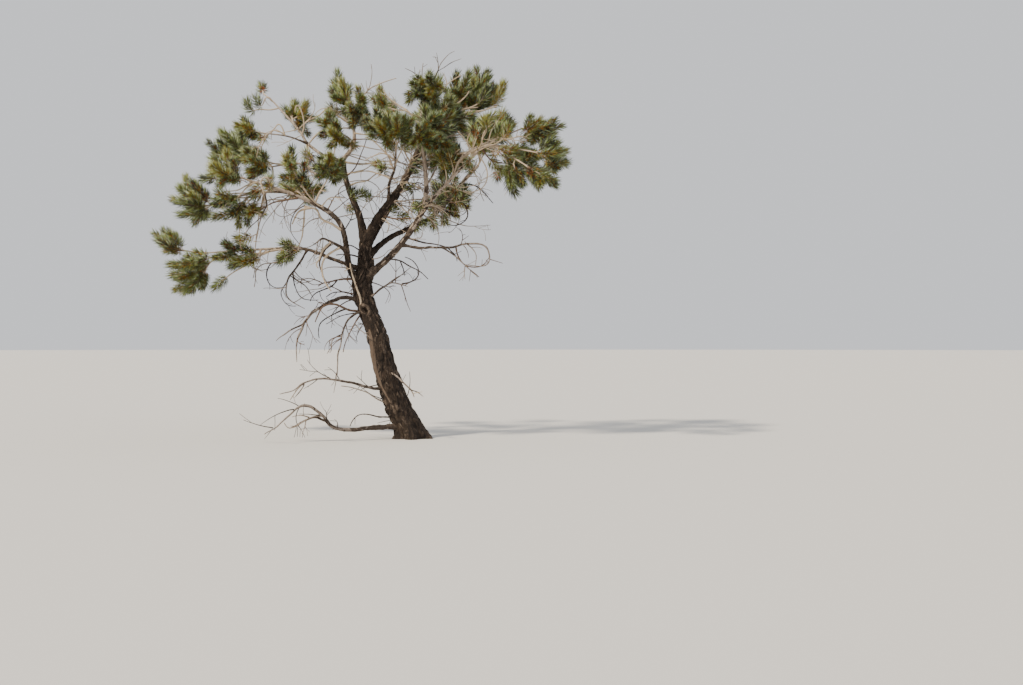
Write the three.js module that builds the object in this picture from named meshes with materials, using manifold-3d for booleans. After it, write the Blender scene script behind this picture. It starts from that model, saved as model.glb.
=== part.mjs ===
// A small wind-shaped pine of the pinyon kind, 1.93 m tall and 2.1 m across the crown.
// Millimetres, +Z up, -Y the front. The origin is the middle of the trunk's flat foot.
// The trunk forks into leaders, the leaders carry boughs, and every bough ends in a mass of
// needles: one stem, the shoots that leave it, and a spray of needles on each shoot.

import * as THREE from "three";
import Module from "manifold-3d";

const wasm = await Module();
wasm.setup();

// Joints
const GAP = 0.36; // left between two neighbouring pieces
const SUNK = 6; // a limb that carries on from a tip starts this far inside it, before the cut
const COLLAR = 0.45; // extra girth of a side limb where it leaves its parent

// Trunk: height, across, back and half width of each section up to the fork
const TRUNK_SECTIONS = [
  [0, 0, 0, 86],
  [45, -8, 0, 78],
  [145, -58, 0, 71],
  [245, -97, -4, 62],
  [345, -130, -8, 59],
  [445, -155, -10, 55],
  [545, -180, -10, 52],
  [645, -222, -6, 51],
  [745, -246, 0, 49],
  [800, -244, 2, 51],
  [870, -230, 4, 42],
  [945, -232, 2, 34],
  [1035, -230, 0, 26],
];
const TRUNK_SIDES = 12;
const TRUNK_RINGS = 16;
const FLARE = 0.2; // extra girth of the root lobes at the ground
const FLARE_HEIGHT = 60; // the lobes fade over about this height
const LOBES = 5;

// Limbs: half girth at the root and at the end, and the places that the limb runs through.
// The first place is moved onto the parent's own middle line, "tip" means the parent's end.
const LIMBS = [
  {
    name: "left_leader", on: "trunk", girth: [20, 12],
    through: [[-230, 0, 975], [-265, 10, 1120], [-310, 25, 1230], [-335, 35, 1310], [-350, 50, 1410]],
  },
  {
    name: "left_leader_top", on: "left_leader", girth: [12, 5],
    through: ["tip", [-300, 60, 1470], [-295, 65, 1540], [-305, 75, 1600], [-280, 90, 1695]],
  },
  {
    name: "right_leader", on: "trunk", girth: [23, 15],
    through: [[-220, 0, 975], [-170, -15, 1095], [-90, -25, 1205], [-30, -30, 1290], [45, -45, 1455]],
  },
  {
    name: "right_leader_top", on: "right_leader", girth: [13, 4],
    through: ["tip", [50, -40, 1560], [55, -25, 1675], [55, -10, 1780]],
  },
  {
    name: "rear_leader", on: "trunk", girth: [14, 7],
    through: [[-228, 5, 940], [-155, 62, 1090], [-80, 85, 1220], [-25, 120, 1350], [115, 290, 1565]],
  },
  {
    name: "right_front_bough", on: "trunk", girth: [19, 9],
    through: [
      [-240, 0, 800], [-130, -60, 880], [-35, -110, 975],
      [50, -150, 1095], [85, -175, 1220], [70, -215, 1435],
    ],
  },
  {
    name: "right_rear_bough", on: "trunk", girth: [16, 7],
    through: [[-230, 5, 900], [-115, 65, 1010], [90, 170, 1125], [235, 250, 1300], [325, 300, 1405]],
  },
  {
    name: "long_right_bough", on: "right_front_bough", girth: [10, 4],
    through: [
      [55, -155, 1105], [155, -215, 1215], [265, -270, 1320],
      [375, -320, 1415], [495, -370, 1395],
    ],
  },
  {
    name: "right_upper_bough", on: "long_right_bough", girth: [7, 4],
    through: [[215, -245, 1270], [260, -200, 1380], [355, -120, 1450], [550, 0, 1550]],
  },
  {
    name: "front_bough", on: "right_leader", girth: [9, 5],
    through: [[-110, -22, 1180], [-105, -80, 1260], [-70, -160, 1330], [-55, -260, 1415]],
  },
  {
    name: "left_bough", on: "trunk", girth: [18, 6],
    through: [
      [-245, 0, 770], [-305, -40, 850], [-345, -120, 1070],
      [-525, -195, 1185], [-755, -270, 1255],
    ],
  },
  {
    name: "left_bough_lower", on: "left_bough", girth: [7, 4],
    through: [[-580, -215, 1215], [-710, -190, 1210], [-840, -140, 1195], [-945, -100, 1165]],
  },
  {
    name: "left_low_bough", on: "trunk", girth: [11, 4],
    through: [[-232, 4, 840], [-400, 50, 900], [-550, 100, 955], [-735, 150, 960], [-1085, 240, 945]],
  },
  {
    name: "mid_left_bough", on: "left_leader", girth: [8, 4],
    through: [[-345, 40, 1350], [-480, 80, 1330], [-580, 140, 1395], [-740, 220, 1390]],
  },
  {
    name: "upper_left_bough", on: "left_leader", girth: [10, 3.5],
    through: [
      [-350, 45, 1395], [-445, 90, 1425], [-545, 150, 1500],
      [-600, 190, 1580], [-765, 280, 1760],
    ],
  },
  {
    name: "upper_left_side_bough", on: "upper_left_bough", girth: [6, 3.5],
    through: [[-545, 150, 1500], [-640, 110, 1530], [-730, 60, 1535]],
  },
];

// Dead limbs, bare and curled. A fork leaves its limb at its own first place.
const DEAD_LIMBS = [
  {
    name: "dead_right_curl", on: "right_front_bough", girth: [7, 3],
    through: [[-30, -112, 940], [75, -150, 945], [225, -200, 945], [320, -235, 960],
      [385, -255, 930], [395, -255, 875], [350, -245, 845], [285, -235, 855]],
    forks: [[[100, -155, 945], [190, -190, 930], [245, -215, 880], [340, -240, 800]]],
  },
  {
    name: "dead_right_low", on: "trunk", girth: [6, 3],
    through: [[-240, 0, 690], [-150, -50, 745], [-90, -90, 775], [-10, -130, 755]],
    forks: [[[-120, -75, 765], [-60, -60, 800], [0, -50, 850]]],
  },
  {
    name: "dead_left_arch", on: "trunk", girth: [11, 3.5],
    through: [
      [-246, 0, 695], [-340, -50, 700], [-420, -80, 665],
      [-500, -110, 600], [-550, -140, 500], [-550, -160, 385],
    ],
    forks: [[[-520, -118, 575], [-595, -90, 540], [-665, -60, 485]]],
  },
  {
    name: "dead_left_droop", on: "trunk", girth: [6, 2.5],
    through: [
      [-222, -6, 640], [-305, -100, 590], [-340, -170, 445],
      [-340, -200, 360], [-360, -230, 240],
    ],
    forks: [[[-325, -140, 520], [-375, -150, 490], [-380, -160, 440]]],
  },
  {
    name: "dead_left_stub", on: "left_bough", girth: [9, 3],
    through: [[-325, -85, 930], [-410, -150, 985], [-450, -175, 965], [-495, -190, 945]],
    forks: [[[-380, -130, 970], [-430, -120, 905], [-440, -115, 840], [-400, -110, 760]]],
  },
  {
    name: "dead_left_hook", on: "left_low_bough", girth: [6, 3],
    through: [[-535, 98, 950], [-595, 60, 855], [-635, 30, 770], [-610, 15, 695], [-535, 0, 650]],
    forks: [[[-612, 45, 815], [-545, 60, 770], [-495, 70, 700]]],
  },
  {
    name: "dead_left_hanging", on: "left_bough", girth: [4, 2.5],
    through: [[-700, -252, 1255], [-670, -290, 1145], [-705, -300, 1040], [-720, -300, 930]],
    forks: [[[-690, -296, 1080], [-760, -310, 1020], [-790, -315, 950]]],
  },
  {
    name: "dead_low_upper", on: "trunk", girth: [8, 3],
    through: [
      [-100, -4, 230], [-225, -90, 265], [-350, -170, 300],
      [-450, -220, 305], [-530, -260, 260], [-605, -290, 235],
    ],
    forks: [[[-500, -245, 282], [-520, -255, 240], [-545, -262, 215]]],
  },
  {
    name: "dead_low_lower", on: "trunk", girth: [14, 3.5],
    through: [
      [-10, 0, 62], [-220, -110, 58], [-360, -180, 60], [-415, -220, 130],
      [-505, -250, 180], [-600, -280, 100], [-680, -300, 40],
    ],
    forks: [[[-395, -205, 100], [-470, -190, 115], [-580, -170, 65]]],
  },
  {
    name: "dead_low_stub", on: "trunk", girth: [6, 3],
    through: [[-130, -8, 345], [-50, -95, 300], [5, -130, 250], [25, -140, 215]],
    forks: [[[5, -130, 250], [45, -140, 235], [70, -150, 215]]],
  },
  {
    name: "dead_top", on: "right_leader_top", girth: [4, 2],
    through: [[55, -25, 1670], [85, -45, 1725], [125, -60, 1810], [180, -70, 1895], [220, -70, 1925]],
    forks: [[[130, -60, 1820], [185, -40, 1865], [250, -30, 1890]]],
  },
];
const FORK_GIRTH = 0.75; // of its limb's girth where it leaves

// Needles and sprays
const NEEDLE = 48; // length of one tuft of needles that stands out of a spray's core
const NEEDLE_SPREAD = 0.14; // of the length, drawn for each
const LEAN_ROOT = 42; // degrees that the needles lean forward at the spray's root
const LEAN_TIP = 66; // and at its tip
const SPRAY_LENGTH = [72, 104]; // shortest and longest axis of a spray
const SPRAY_CORE = 11; // half girth of the core that the needles stand out of
const SPRAY_REACH = 42; // how far the needles stand off the axis, kept clear of other pieces
const SPRAY_PROFILE = [[0, 0.4], [0.1, 1], [0.46, 1.1], [0.86, 0.8]]; // girth along the core
const SPRAY_SIDES = 3;
const SPRAY_TWIST = 60; // degrees that each ring of the core turns on the one before
const TWIG = 3.2; // half girth of a shoot below its needles
const STRAIGHT = 60; // a bare part shorter than this has no bend

// Rule of growth
const STEM_SEEDS = 2000; // added to a mass's seed where its stem is drawn
const NEEDLE_SEEDS = 1000; // and where its needles' lengths are
const CHOICES = 40; // places tried for each shoot, of which the one farthest from the others stays
const CLEAR = 3; // least distance from a shoot to another mass or limb
const SISTERS = 0.74; // share of their reach that two sprays of one mass keep to themselves
const RISE = 0.32; // how strongly a spray turns upwards
const FORWARD = 0.35; // how strongly a spray turns along its stem

// Masses: the limb and the place along it (1 is its tip) that carries the stem, the middle and
// the half sizes of the space that the needles keep to, the number of shoots, and the seed.
const MASSES = [
  {
    name: "needles_left_low_tip", on: "left_low_bough", at: 1,
    middle: [-1300, 262, 1010], half: [80, 110, 65], shoots: 1, seed: 47,
  },
  {
    name: "needles_left_low_outer", on: "left_low_bough", at: 0.82,
    middle: [-1185, 190, 845], half: [120, 160, 135], shoots: 5, seed: 29,
  },
  {
    name: "needles_left_low_inner", on: "left_low_bough", at: 0.5,
    middle: [-910, 80, 880], half: [125, 160, 140], shoots: 1, seed: 38,
  },
  {
    name: "needles_left_low_near", on: "left_low_bough", at: 0.42,
    middle: [-655, 190, 940], half: [70, 110, 70], shoots: 0, seed: 2,
  },
  {
    name: "needles_left_mid_outer", on: "left_bough_lower", at: 1,
    middle: [-1100, -60, 1190], half: [100, 200, 125], shoots: 5, seed: 15,
  },
  {
    name: "needles_left_mid_lower", on: "left_bough_lower", at: 0.45,
    middle: [-845, -230, 1120], half: [155, 160, 75], shoots: 3, seed: 53,
  },
  {
    name: "needles_left_mid_upper", on: "left_bough", at: 1,
    middle: [-880, -340, 1295], half: [105, 190, 110], shoots: 4, seed: 8,
  },
  {
    name: "needles_left_high_outer", on: "mid_left_bough", at: 1,
    middle: [-980, 280, 1530], half: [100, 190, 110], shoots: 4, seed: 6,
  },
  {
    name: "needles_left_high_upper", on: "upper_left_side_bough", at: 1,
    middle: [-805, 20, 1540], half: [95, 140, 65], shoots: 1, seed: 18,
  },
  {
    name: "needles_left_high_inner", on: "mid_left_bough", at: 0.8,
    middle: [-815, 90, 1405], half: [75, 140, 90], shoots: 2, seed: 45,
  },
  {
    name: "needles_upper_left_tip", on: "upper_left_bough", at: 1,
    middle: [-830, 295, 1775], half: [80, 120, 105], shoots: 0, seed: 2,
  },
  {
    name: "needles_upper_left_side", on: "upper_left_bough", at: 0.66,
    middle: [-615, 340, 1675], half: [85, 150, 110], shoots: 2, seed: 1,
  },
  {
    name: "needles_upper_left_inner", on: "left_leader_top", at: 0.25,
    middle: [-360, -120, 1520], half: [90, 150, 100], shoots: 2, seed: 15,
  },
  {
    name: "needles_left_inner_front", on: "left_bough", at: 0.55,
    middle: [-525, -430, 1275], half: [75, 160, 115], shoots: 1, seed: 35,
  },
  {
    name: "needles_left_inner_low", on: "left_bough", at: 0.62,
    middle: [-555, 70, 1260], half: [125, 140, 70], shoots: 3, seed: 15,
  },
  {
    name: "needles_leader_left_front", on: "left_leader", at: 0.7,
    middle: [-375, -240, 1320], half: [85, 175, 95], shoots: 4, seed: 18,
  },
  {
    name: "needles_leader_left_top", on: "left_leader_top", at: 0.75,
    middle: [-380, 150, 1740], half: [80, 190, 135], shoots: 2, seed: 43,
  },
  {
    name: "needles_leader_left_crown", on: "left_leader_top", at: 1,
    middle: [-245, -60, 1630], half: [60, 140, 105], shoots: 2, seed: 32,
  },
  {
    name: "needles_centre_spire", on: "rear_leader", at: 0.72,
    middle: [-175, 270, 1775], half: [65, 140, 105], shoots: 0, seed: 28,
  },
  {
    name: "needles_centre_front", on: "front_bough", at: 1,
    middle: [-65, -380, 1490], half: [120, 210, 100], shoots: 7, seed: 6,
  },
  {
    name: "needles_right_top_left", on: "right_leader_top", at: 1,
    middle: [70, -110, 1710], half: [95, 160, 120], shoots: 6, seed: 20,
  },
  {
    name: "needles_right_top_outer", on: "rear_leader", at: 1,
    middle: [305, 230, 1800], half: [175, 210, 125], shoots: 9, seed: 77,
  },
  {
    name: "needles_right_heart_front", on: "right_front_bough", at: 1,
    middle: [85, -340, 1480], half: [110, 190, 120], shoots: 3, seed: 27,
  },
  {
    name: "needles_right_heart_back", on: "rear_leader", at: 0.85,
    middle: [95, 450, 1645], half: [130, 200, 125], shoots: 1, seed: 60,
  },
  {
    name: "needles_right_heart_mid", on: "right_leader_top", at: 0.2,
    middle: [185, 20, 1585], half: [100, 160, 100], shoots: 1, seed: 80,
  },
  {
    name: "needles_right_heart_low", on: "right_upper_bough", at: 0.3,
    middle: [180, -60, 1390], half: [90, 150, 100], shoots: 4, seed: 58,
  },
  {
    name: "needles_right_shoulder", on: "right_rear_bough", at: 1,
    middle: [370, 330, 1615], half: [130, 200, 100], shoots: 7, seed: 27,
  },
  {
    name: "needles_right_round", on: "right_upper_bough", at: 1,
    middle: [650, 20, 1550], half: [110, 175, 80], shoots: 3, seed: 77,
  },
  {
    name: "needles_right_tip", on: "long_right_bough", at: 1,
    middle: [730, -250, 1380], half: [75, 175, 100], shoots: 3, seed: 8,
  },
  {
    name: "needles_right_mid", on: "right_upper_bough", at: 0.7,
    middle: [595, 30, 1395], half: [115, 150, 85], shoots: 4, seed: 31,
  },
  {
    name: "needles_right_hanging", on: "long_right_bough", at: 0.85,
    middle: [600, -400, 1225], half: [135, 160, 70], shoots: 2, seed: 40,
  },
  {
    name: "needles_rear_low", on: "right_rear_bough", at: 0.72,
    middle: [175, 340, 1250], half: [105, 175, 120], shoots: 3, seed: 44,
  },
];

const COLOURS = { bark: 0x3b312a, pale: 0x8d8377, dead: 0x9a9086, needles: 0x5d6b33 };

const vec = (place) => new THREE.Vector3(...place);
const mix = (a, b, share) => a + (b - a) * share;
const clamp = (value, low, high) => Math.min(Math.max(value, low), high);

// Even random numbers from 0 to 1, the same for the same seed.
function seeded(seed) {
  let state = seed >>> 0;
  return () => {
    state = (state + 0x6d2b79f5) >>> 0;
    let mixed = Math.imul(state ^ (state >>> 15), state | 1);
    mixed ^= mixed + Math.imul(mixed ^ (mixed >>> 7), mixed | 61);
    return ((mixed ^ (mixed >>> 14)) >>> 0) / 4294967296;
  };
}

// One place of a Catmull-Rom curve between its second and third points.
function between(a, b, c, d, share) {
  const square = share * share;
  const cube = square * share;
  return new THREE.Vector3()
    .addScaledVector(a, -0.5 * cube + square - 0.5 * share)
    .addScaledVector(b, 1.5 * cube - 2.5 * square + 1)
    .addScaledVector(c, -1.5 * cube + 2 * square + 0.5 * share)
    .addScaledVector(d, 0.5 * cube - 0.5 * square);
}

// A smooth course through a few places, as a fine line with the length run at each point.
const FINE = 8;
function courseThrough(places) {
  const line = [];
  const last = places.length - 1;
  for (let i = 0; i < last; i++) {
    const before = places[Math.max(i - 1, 0)];
    const after = places[Math.min(i + 2, last)];
    for (let k = 0; k < FINE; k++) {
      line.push(between(before, places[i], places[i + 1], after, k / FINE));
    }
  }
  line.push(places[last].clone());
  const run = [0];
  for (let i = 1; i < line.length; i++) {
    run.push(run[i - 1] + line[i].distanceTo(line[i - 1]));
  }
  return { line, run, length: run[run.length - 1] };
}

// The place and the direction at a share of a course's length.
function placeOn(course, share) {
  const wanted = clamp(share, 0, 1) * course.length;
  let i = 1;
  while (i < course.run.length - 1 && course.run[i] < wanted) {
    i++;
  }
  const step = course.run[i] - course.run[i - 1];
  const along = course.line[i].clone().sub(course.line[i - 1]).normalize();
  const point = course.line[i - 1].clone().lerp(course.line[i], (wanted - course.run[i - 1]) / step);
  return { point, along };
}

// The share of a course's length that lies nearest to a point.
function nearestShare(course, point) {
  const steps = 200;
  let best = 0;
  let least = Infinity;
  for (let i = 0; i <= steps; i++) {
    const away = placeOn(course, i / steps).point.distanceTo(point);
    if (away < least) {
      least = away;
      best = i / steps;
    }
  }
  return best;
}

// The solid that a list of points and triangles bounds.
function solidFrom(points, triangles) {
  const vertProperties = new Float32Array(points.flatMap((p) => [p.x, p.y, p.z]));
  const triVerts = new Uint32Array(triangles.flat());
  return new wasm.Manifold(new wasm.Mesh({ numProp: 3, vertProperties, triVerts }));
}

// Triangles between rings of the same number of points, without the ends.
function wallTriangles(rings, sides, twisted) {
  const triangles = [];
  for (let i = 0; i < rings - 1; i++) {
    for (let k = 0; k < sides; k++) {
      const a = i * sides + k;
      const b = i * sides + ((k + 1) % sides);
      const c = a + sides;
      const d = b + sides;
      triangles.push(twisted ? [a, b, c] : [a, b, d], twisted ? [b, d, c] : [a, d, c]);
    }
  }
  return triangles;
}

// A flat end over one ring of points.
function capTriangles(first, sides, facesUp) {
  const triangles = [];
  for (let k = 1; k < sides - 1; k++) {
    triangles.push(facesUp ? [first, first + k, first + k + 1] : [first, first + k + 1, first + k]);
  }
  return triangles;
}

// Points of the rings of a tube. Each ring is square to the course and turned no more than it
// must, apart from the twist that it asks for.
function ringPoints(rings, sides) {
  const points = [];
  let side = new THREE.Vector3(0, 0, 1);
  if (Math.abs(rings[0].along.z) > 0.8) {
    side.set(1, 0, 0);
  }
  for (const { point, along, radius, twist = 0 } of rings) {
    side = side.clone().addScaledVector(along, -side.dot(along)).normalize();
    const across = new THREE.Vector3().crossVectors(along, side);
    for (let k = 0; k < sides; k++) {
      const angle = (k / sides) * Math.PI * 2 + THREE.MathUtils.degToRad(twist);
      points.push(
        point.clone()
          .addScaledVector(side, Math.cos(angle) * radius)
          .addScaledVector(across, Math.sin(angle) * radius),
      );
    }
  }
  return points;
}

// A closed tube with flat ends.
function tube(rings, sides) {
  const last = (rings.length - 1) * sides;
  return solidFrom(ringPoints(rings, sides), [
    ...capTriangles(0, sides, false),
    ...wallTriangles(rings.length, sides, false),
    ...capTriangles(last, sides, true),
  ]);
}

// The trunk, or the room that it needs when a gap is added to its girth.
const trunkCourse = courseThrough(TRUNK_SECTIONS.map(([up, across, back]) => vec([across, back, up])));
function trunkGirth(share) {
  const up = placeOn(trunkCourse, share).point.z;
  const above = Math.max(TRUNK_SECTIONS.findIndex(([height]) => height >= up), 1);
  const [low, , , thick] = TRUNK_SECTIONS[above - 1];
  const [high, , , thin] = TRUNK_SECTIONS[above];
  return mix(thick, thin, (up - low) / (high - low));
}
function trunkSolid(extra) {
  const points = [];
  for (let i = 0; i < TRUNK_RINGS; i++) {
    const share = i / (TRUNK_RINGS - 1);
    const { point } = placeOn(trunkCourse, share);
    const up = point.z + (i ? 0 : -extra) + (share === 1 ? extra : 0);
    const lobes = FLARE * Math.exp(-point.z / FLARE_HEIGHT);
    for (let k = 0; k < TRUNK_SIDES; k++) {
      const angle = (k / TRUNK_SIDES) * Math.PI * 2;
      const radius = trunkGirth(share) * (1 + lobes * Math.cos(angle * LOBES + 1)) + extra;
      points.push(vec([point.x + Math.cos(angle) * radius, point.y + Math.sin(angle) * radius, up]));
    }
  }
  return solidFrom(points, [
    ...capTriangles(0, TRUNK_SIDES, false),
    ...wallTriangles(TRUNK_RINGS, TRUNK_SIDES, false),
    ...capTriangles((TRUNK_RINGS - 1) * TRUNK_SIDES, TRUNK_SIDES, true),
  ]);
}

// Every limb's course and half girth by name, the trunk's first.
const limbs = new Map();
limbs.set("trunk", { course: trunkCourse, girthAt: trunkGirth });

// A limb's course from its parent, with its girth at each share of the length.
function limbFrom({ on, through, girth }) {
  const parent = limbs.get(on);
  const places = through.slice(1).map(vec);
  const carriesOn = through[0] === "tip";
  const share = carriesOn ? 1 : nearestShare(parent.course, vec(through[0]));
  const { point, along } = placeOn(parent.course, share);
  places.unshift(carriesOn ? point.clone().addScaledVector(along, -SUNK) : point);
  const course = courseThrough(places);
  const [root, end] = girth;
  const collar = carriesOn ? 0 : COLLAR;
  const covered = carriesOn ? 0 : parent.girthAt(share);
  const girthAt = (at) => {
    const out = Math.max(at * course.length - covered, 0);
    return mix(root, end, at) * (1 + collar * Math.exp(-out / (1.5 * root)));
  };
  return { course, girthAt };
}

// Rings along a limb, nearer together where it is thin, and the solid over them.
const sidesFor = (radius) => (radius > 14 ? 7 : radius > 6.5 ? 6 : radius > 4.6 ? 4 : 3);
function limbSolid({ course, girthAt }, extra = 0) {
  const sides = sidesFor(girthAt(0.3));
  const steps = Math.ceil(course.length / (sides > 4 ? 84 : 64));
  const rings = [];
  for (let i = 0; i <= steps; i++) {
    const share = i / steps;
    const { point, along } = placeOn(course, share);
    if (i === steps) {
      point.addScaledVector(along, extra);
    }
    rings.push({ point, along, radius: girthAt(share) + extra / Math.cos(Math.PI / sides) });
  }
  return tube(rings, sides);
}

// What is left of a solid outside another one: its largest body.
function cutClear(solid, room) {
  const bodies = solid.subtract(room).decompose();
  return bodies.reduce((most, body) => (body.volume() > most.volume() ? body : most));
}

// Least distance between two straight pieces, each given by its two ends.
function distanceApart([a, b], [c, d]) {
  const first = b.clone().sub(a);
  const second = d.clone().sub(c);
  const off = a.clone().sub(c);
  const aa = first.dot(first);
  const bb = second.dot(second);
  const ab = first.dot(second);
  const ao = first.dot(off);
  const bo = second.dot(off);
  const spread = aa * bb - ab * ab;
  let s = spread > 1e-9 ? clamp((ab * bo - ao * bb) / spread, 0, 1) : 0;
  const t = clamp((ab * s + bo) / bb, 0, 1);
  s = clamp((ab * t - ao) / aa, 0, 1);
  return off.addScaledVector(first, s).addScaledVector(second, -t).length();
}

// Pieces that nothing else may touch: straight stretches with a radius and their owner's name.
const taken = [];
function takeCourse(owner, course, girthAt) {
  const steps = Math.ceil(course.length / 40);
  for (let i = 0; i < steps; i++) {
    const ends = [placeOn(course, i / steps).point, placeOn(course, (i + 1) / steps).point];
    taken.push({ owner, ends, radius: girthAt(i / steps) });
  }
}

// A place in the ball that fills a mass's space, less the length of the needles.
function placeIn({ middle, half }, random) {
  const draws = [random() * 2 - 1, random() * 2 - 1, random() * 2 - 1];
  const norm = Math.max(Math.hypot(...draws), 1);
  return vec(draws.map((draw, i) => middle[i] + (draw / norm) * Math.max(half[i] - NEEDLE * 0.6, 10)));
}

// A mass's stem: from its limb past the middle of its space, towards the far side.
function stemOf(mass) {
  const { on, at, middle } = mass;
  const limb = limbs.get(on);
  const { point, along } = placeOn(limb.course, at);
  const start = at === 1 ? point.clone().addScaledVector(along, -SUNK) : point;
  const centre = vec(middle);
  const heading = centre.clone().sub(start);
  const away = heading.length();
  heading.normalize();
  const bend = start.clone()
    .addScaledVector(along, away * (at === 1 ? 0.3 : 0.12))
    .addScaledVector(heading, away * 0.25);
  const end = placeIn(mass, seeded(mass.seed + STEM_SEEDS));
  const back = end.clone().sub(centre).dot(heading);
  end.addScaledVector(heading, Math.abs(back) - back - SPRAY_LENGTH[0] * 0.5);
  const thick = Math.min(limb.girthAt(at), at === 1 ? 6 : 5);
  const places = [start, bend, end];
  return { course: courseThrough(places), girthAt: (share) => mix(thick, TWIG, share) };
}

// The course of a shoot: it leaves the stem slanting forward and turns into its spray's line.
function shootTo(stem, tip, length) {
  const share = nearestShare(stem.course, tip);
  const side = placeOn(stem.course, share).point.distanceTo(tip);
  const leaves = clamp(share - (0.75 * side) / stem.course.length, 0.12, 0.9);
  const { point: root, along } = placeOn(stem.course, leaves);
  const heading = tip.clone().sub(root).normalize();
  heading.addScaledVector(along, FORWARD).add(vec([0, 0, RISE])).normalize();
  const axis = Math.min(length, tip.distanceTo(root) * 0.85);
  const base = tip.clone().addScaledVector(heading, -axis);
  const knee = root.clone().lerp(base, 0.5)
    .addScaledVector(along, root.distanceTo(base) * 0.16)
    .addScaledVector(heading, -root.distanceTo(base) * 0.1);
  return { root, knee, base, tip, heading, axis };
}

// The straight stretches of a shoot: its bare part, then its spray with the needles' reach.
function stretchesOf({ root, knee, base, tip, heading }) {
  const needlesFrom = base.clone().addScaledVector(heading, 14);
  return [
    { ends: [root, knee], radius: TWIG },
    { ends: [knee, base], radius: TWIG },
    { ends: [needlesFrom, tip], radius: SPRAY_REACH },
  ];
}

// Whether a shoot would touch another piece, or its needles those of a sister spray.
function touches(owner, stretches) {
  const needles = stretches[stretches.length - 1];
  return taken.some((other) => {
    if (other.owner !== owner) {
      return stretches.some(
        ({ ends, radius }) => distanceApart(ends, other.ends) < radius + other.radius + CLEAR,
      );
    }
    const both = needles.radius + other.radius;
    return other.radius === SPRAY_REACH && distanceApart(needles.ends, other.ends) < both * SISTERS;
  });
}

// A mass's shoots by the rule: for each, a few places in its space are tried, those that would
// touch another piece are passed over, and the one farthest from the shoots so far is taken.
function shootsOf(mass, stem) {
  const random = seeded(mass.seed);
  const end = placeOn(stem.course, 1);
  const shoots = [];
  const tips = [end.point];
  for (let i = 0; i < mass.shoots; i++) {
    let best = null;
    let farthest = -1;
    for (let k = 0; k < CHOICES; k++) {
      const tip = placeIn(mass, random);
      const length = mix(...SPRAY_LENGTH, random());
      const apart = Math.min(...tips.map((other) => other.distanceTo(tip)));
      if (apart <= farthest) {
        continue;
      }
      const shoot = shootTo(stem, tip, length);
      if (!touches(mass.name, stretchesOf(shoot))) {
        best = shoot;
        farthest = apart;
      }
    }
    if (best) {
      shoots.push(best);
      tips.push(best.tip);
      stretchesOf(best).forEach((stretch) => taken.push({ owner: mass.name, ...stretch }));
    }
  }
  return shoots;
}

// A shoot with its spray, as one closed skin: bare rings, then the slim core, whose facets are
// drawn out into needles that lean forward, more so towards the tip.
function shootSolid({ root, knee, base, tip, heading, axis }, random) {
  const rings = [{ point: root, along: knee.clone().sub(root).normalize(), radius: TWIG }];
  if (root.distanceTo(base) > STRAIGHT) {
    rings.push({ point: knee, along: base.clone().sub(root).normalize(), radius: TWIG });
  }
  const bare = rings.length;
  SPRAY_PROFILE.forEach(([share, thick], i) => {
    const point = base.clone().addScaledVector(heading, axis * share);
    rings.push({ point, along: heading, radius: SPRAY_CORE * thick, twist: i * SPRAY_TWIST });
  });
  const points = ringPoints(rings, SPRAY_SIDES);
  const top = points.push(tip.clone()) - 1;
  const last = (rings.length - 1) * SPRAY_SIDES;
  const walls = wallTriangles(rings.length, SPRAY_SIDES, true);
  for (let k = 0; k < SPRAY_SIDES; k++) {
    walls.push([last + k, last + ((k + 1) % SPRAY_SIDES), top]);
  }
  const plain = (bare + 1) * SPRAY_SIDES * 2 - SPRAY_SIDES * 2;
  const triangles = capTriangles(0, SPRAY_SIDES, false);
  walls.forEach((corners, i) => {
    if (i < plain) {
      triangles.push(corners);
      return;
    }
    const [a, b, c] = corners.map((index) => points[index]);
    const centre = a.clone().add(b).add(c).divideScalar(3);
    const facing = b.clone().sub(a).cross(c.clone().sub(a)).normalize();
    facing.addScaledVector(heading, -facing.dot(heading)).normalize();
    const share = clamp(centre.clone().sub(base).dot(heading) / axis, 0, 1);
    const lean = THREE.MathUtils.degToRad(mix(LEAN_ROOT, LEAN_TIP, share));
    const length = NEEDLE * (1 + NEEDLE_SPREAD * (random() - 0.5) * 2);
    const apex = centre
      .addScaledVector(facing, Math.cos(lean) * length)
      .addScaledVector(heading, Math.sin(lean) * length);
    const at = points.push(apex) - 1;
    triangles.push(
      [corners[0], corners[1], at],
      [corners[1], corners[2], at],
      [corners[2], corners[0], at],
    );
  });
  return solidFrom(points, triangles);
}

// The stem's own end is a spray too.
function stemSpray(stem) {
  const { point, along } = placeOn(stem.course, 1);
  const heading = along.clone().add(vec([0, 0, RISE * 0.5])).normalize();
  const axis = SPRAY_LENGTH[0];
  const root = placeOn(stem.course, 0.9).point;
  const base = point.clone();
  const knee = root.clone().lerp(base, 0.6);
  return { root, knee, base, tip: base.clone().addScaledVector(heading, axis), heading, axis };
}

function meshOf(name, solid, colour) {
  const { vertProperties, triVerts } = solid.getMesh();
  const geometry = new THREE.BufferGeometry();
  geometry.setAttribute("position", new THREE.BufferAttribute(vertProperties, 3));
  geometry.setIndex(new THREE.BufferAttribute(triVerts, 1));
  const flat = geometry.toNonIndexed();
  flat.computeVertexNormals();
  const material = new THREE.MeshStandardMaterial({ color: colour, roughness: 0.9, metalness: 0 });
  const mesh = new THREE.Mesh(flat, material);
  mesh.name = name;
  return mesh;
}

const tree = new THREE.Group();
tree.name = "pine_tree";
const rooms = new Map();
rooms.set("trunk", trunkSolid(GAP));
takeCourse("trunk", trunkCourse, trunkGirth);
tree.add(meshOf("trunk", trunkSolid(0), COLOURS.bark));

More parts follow.
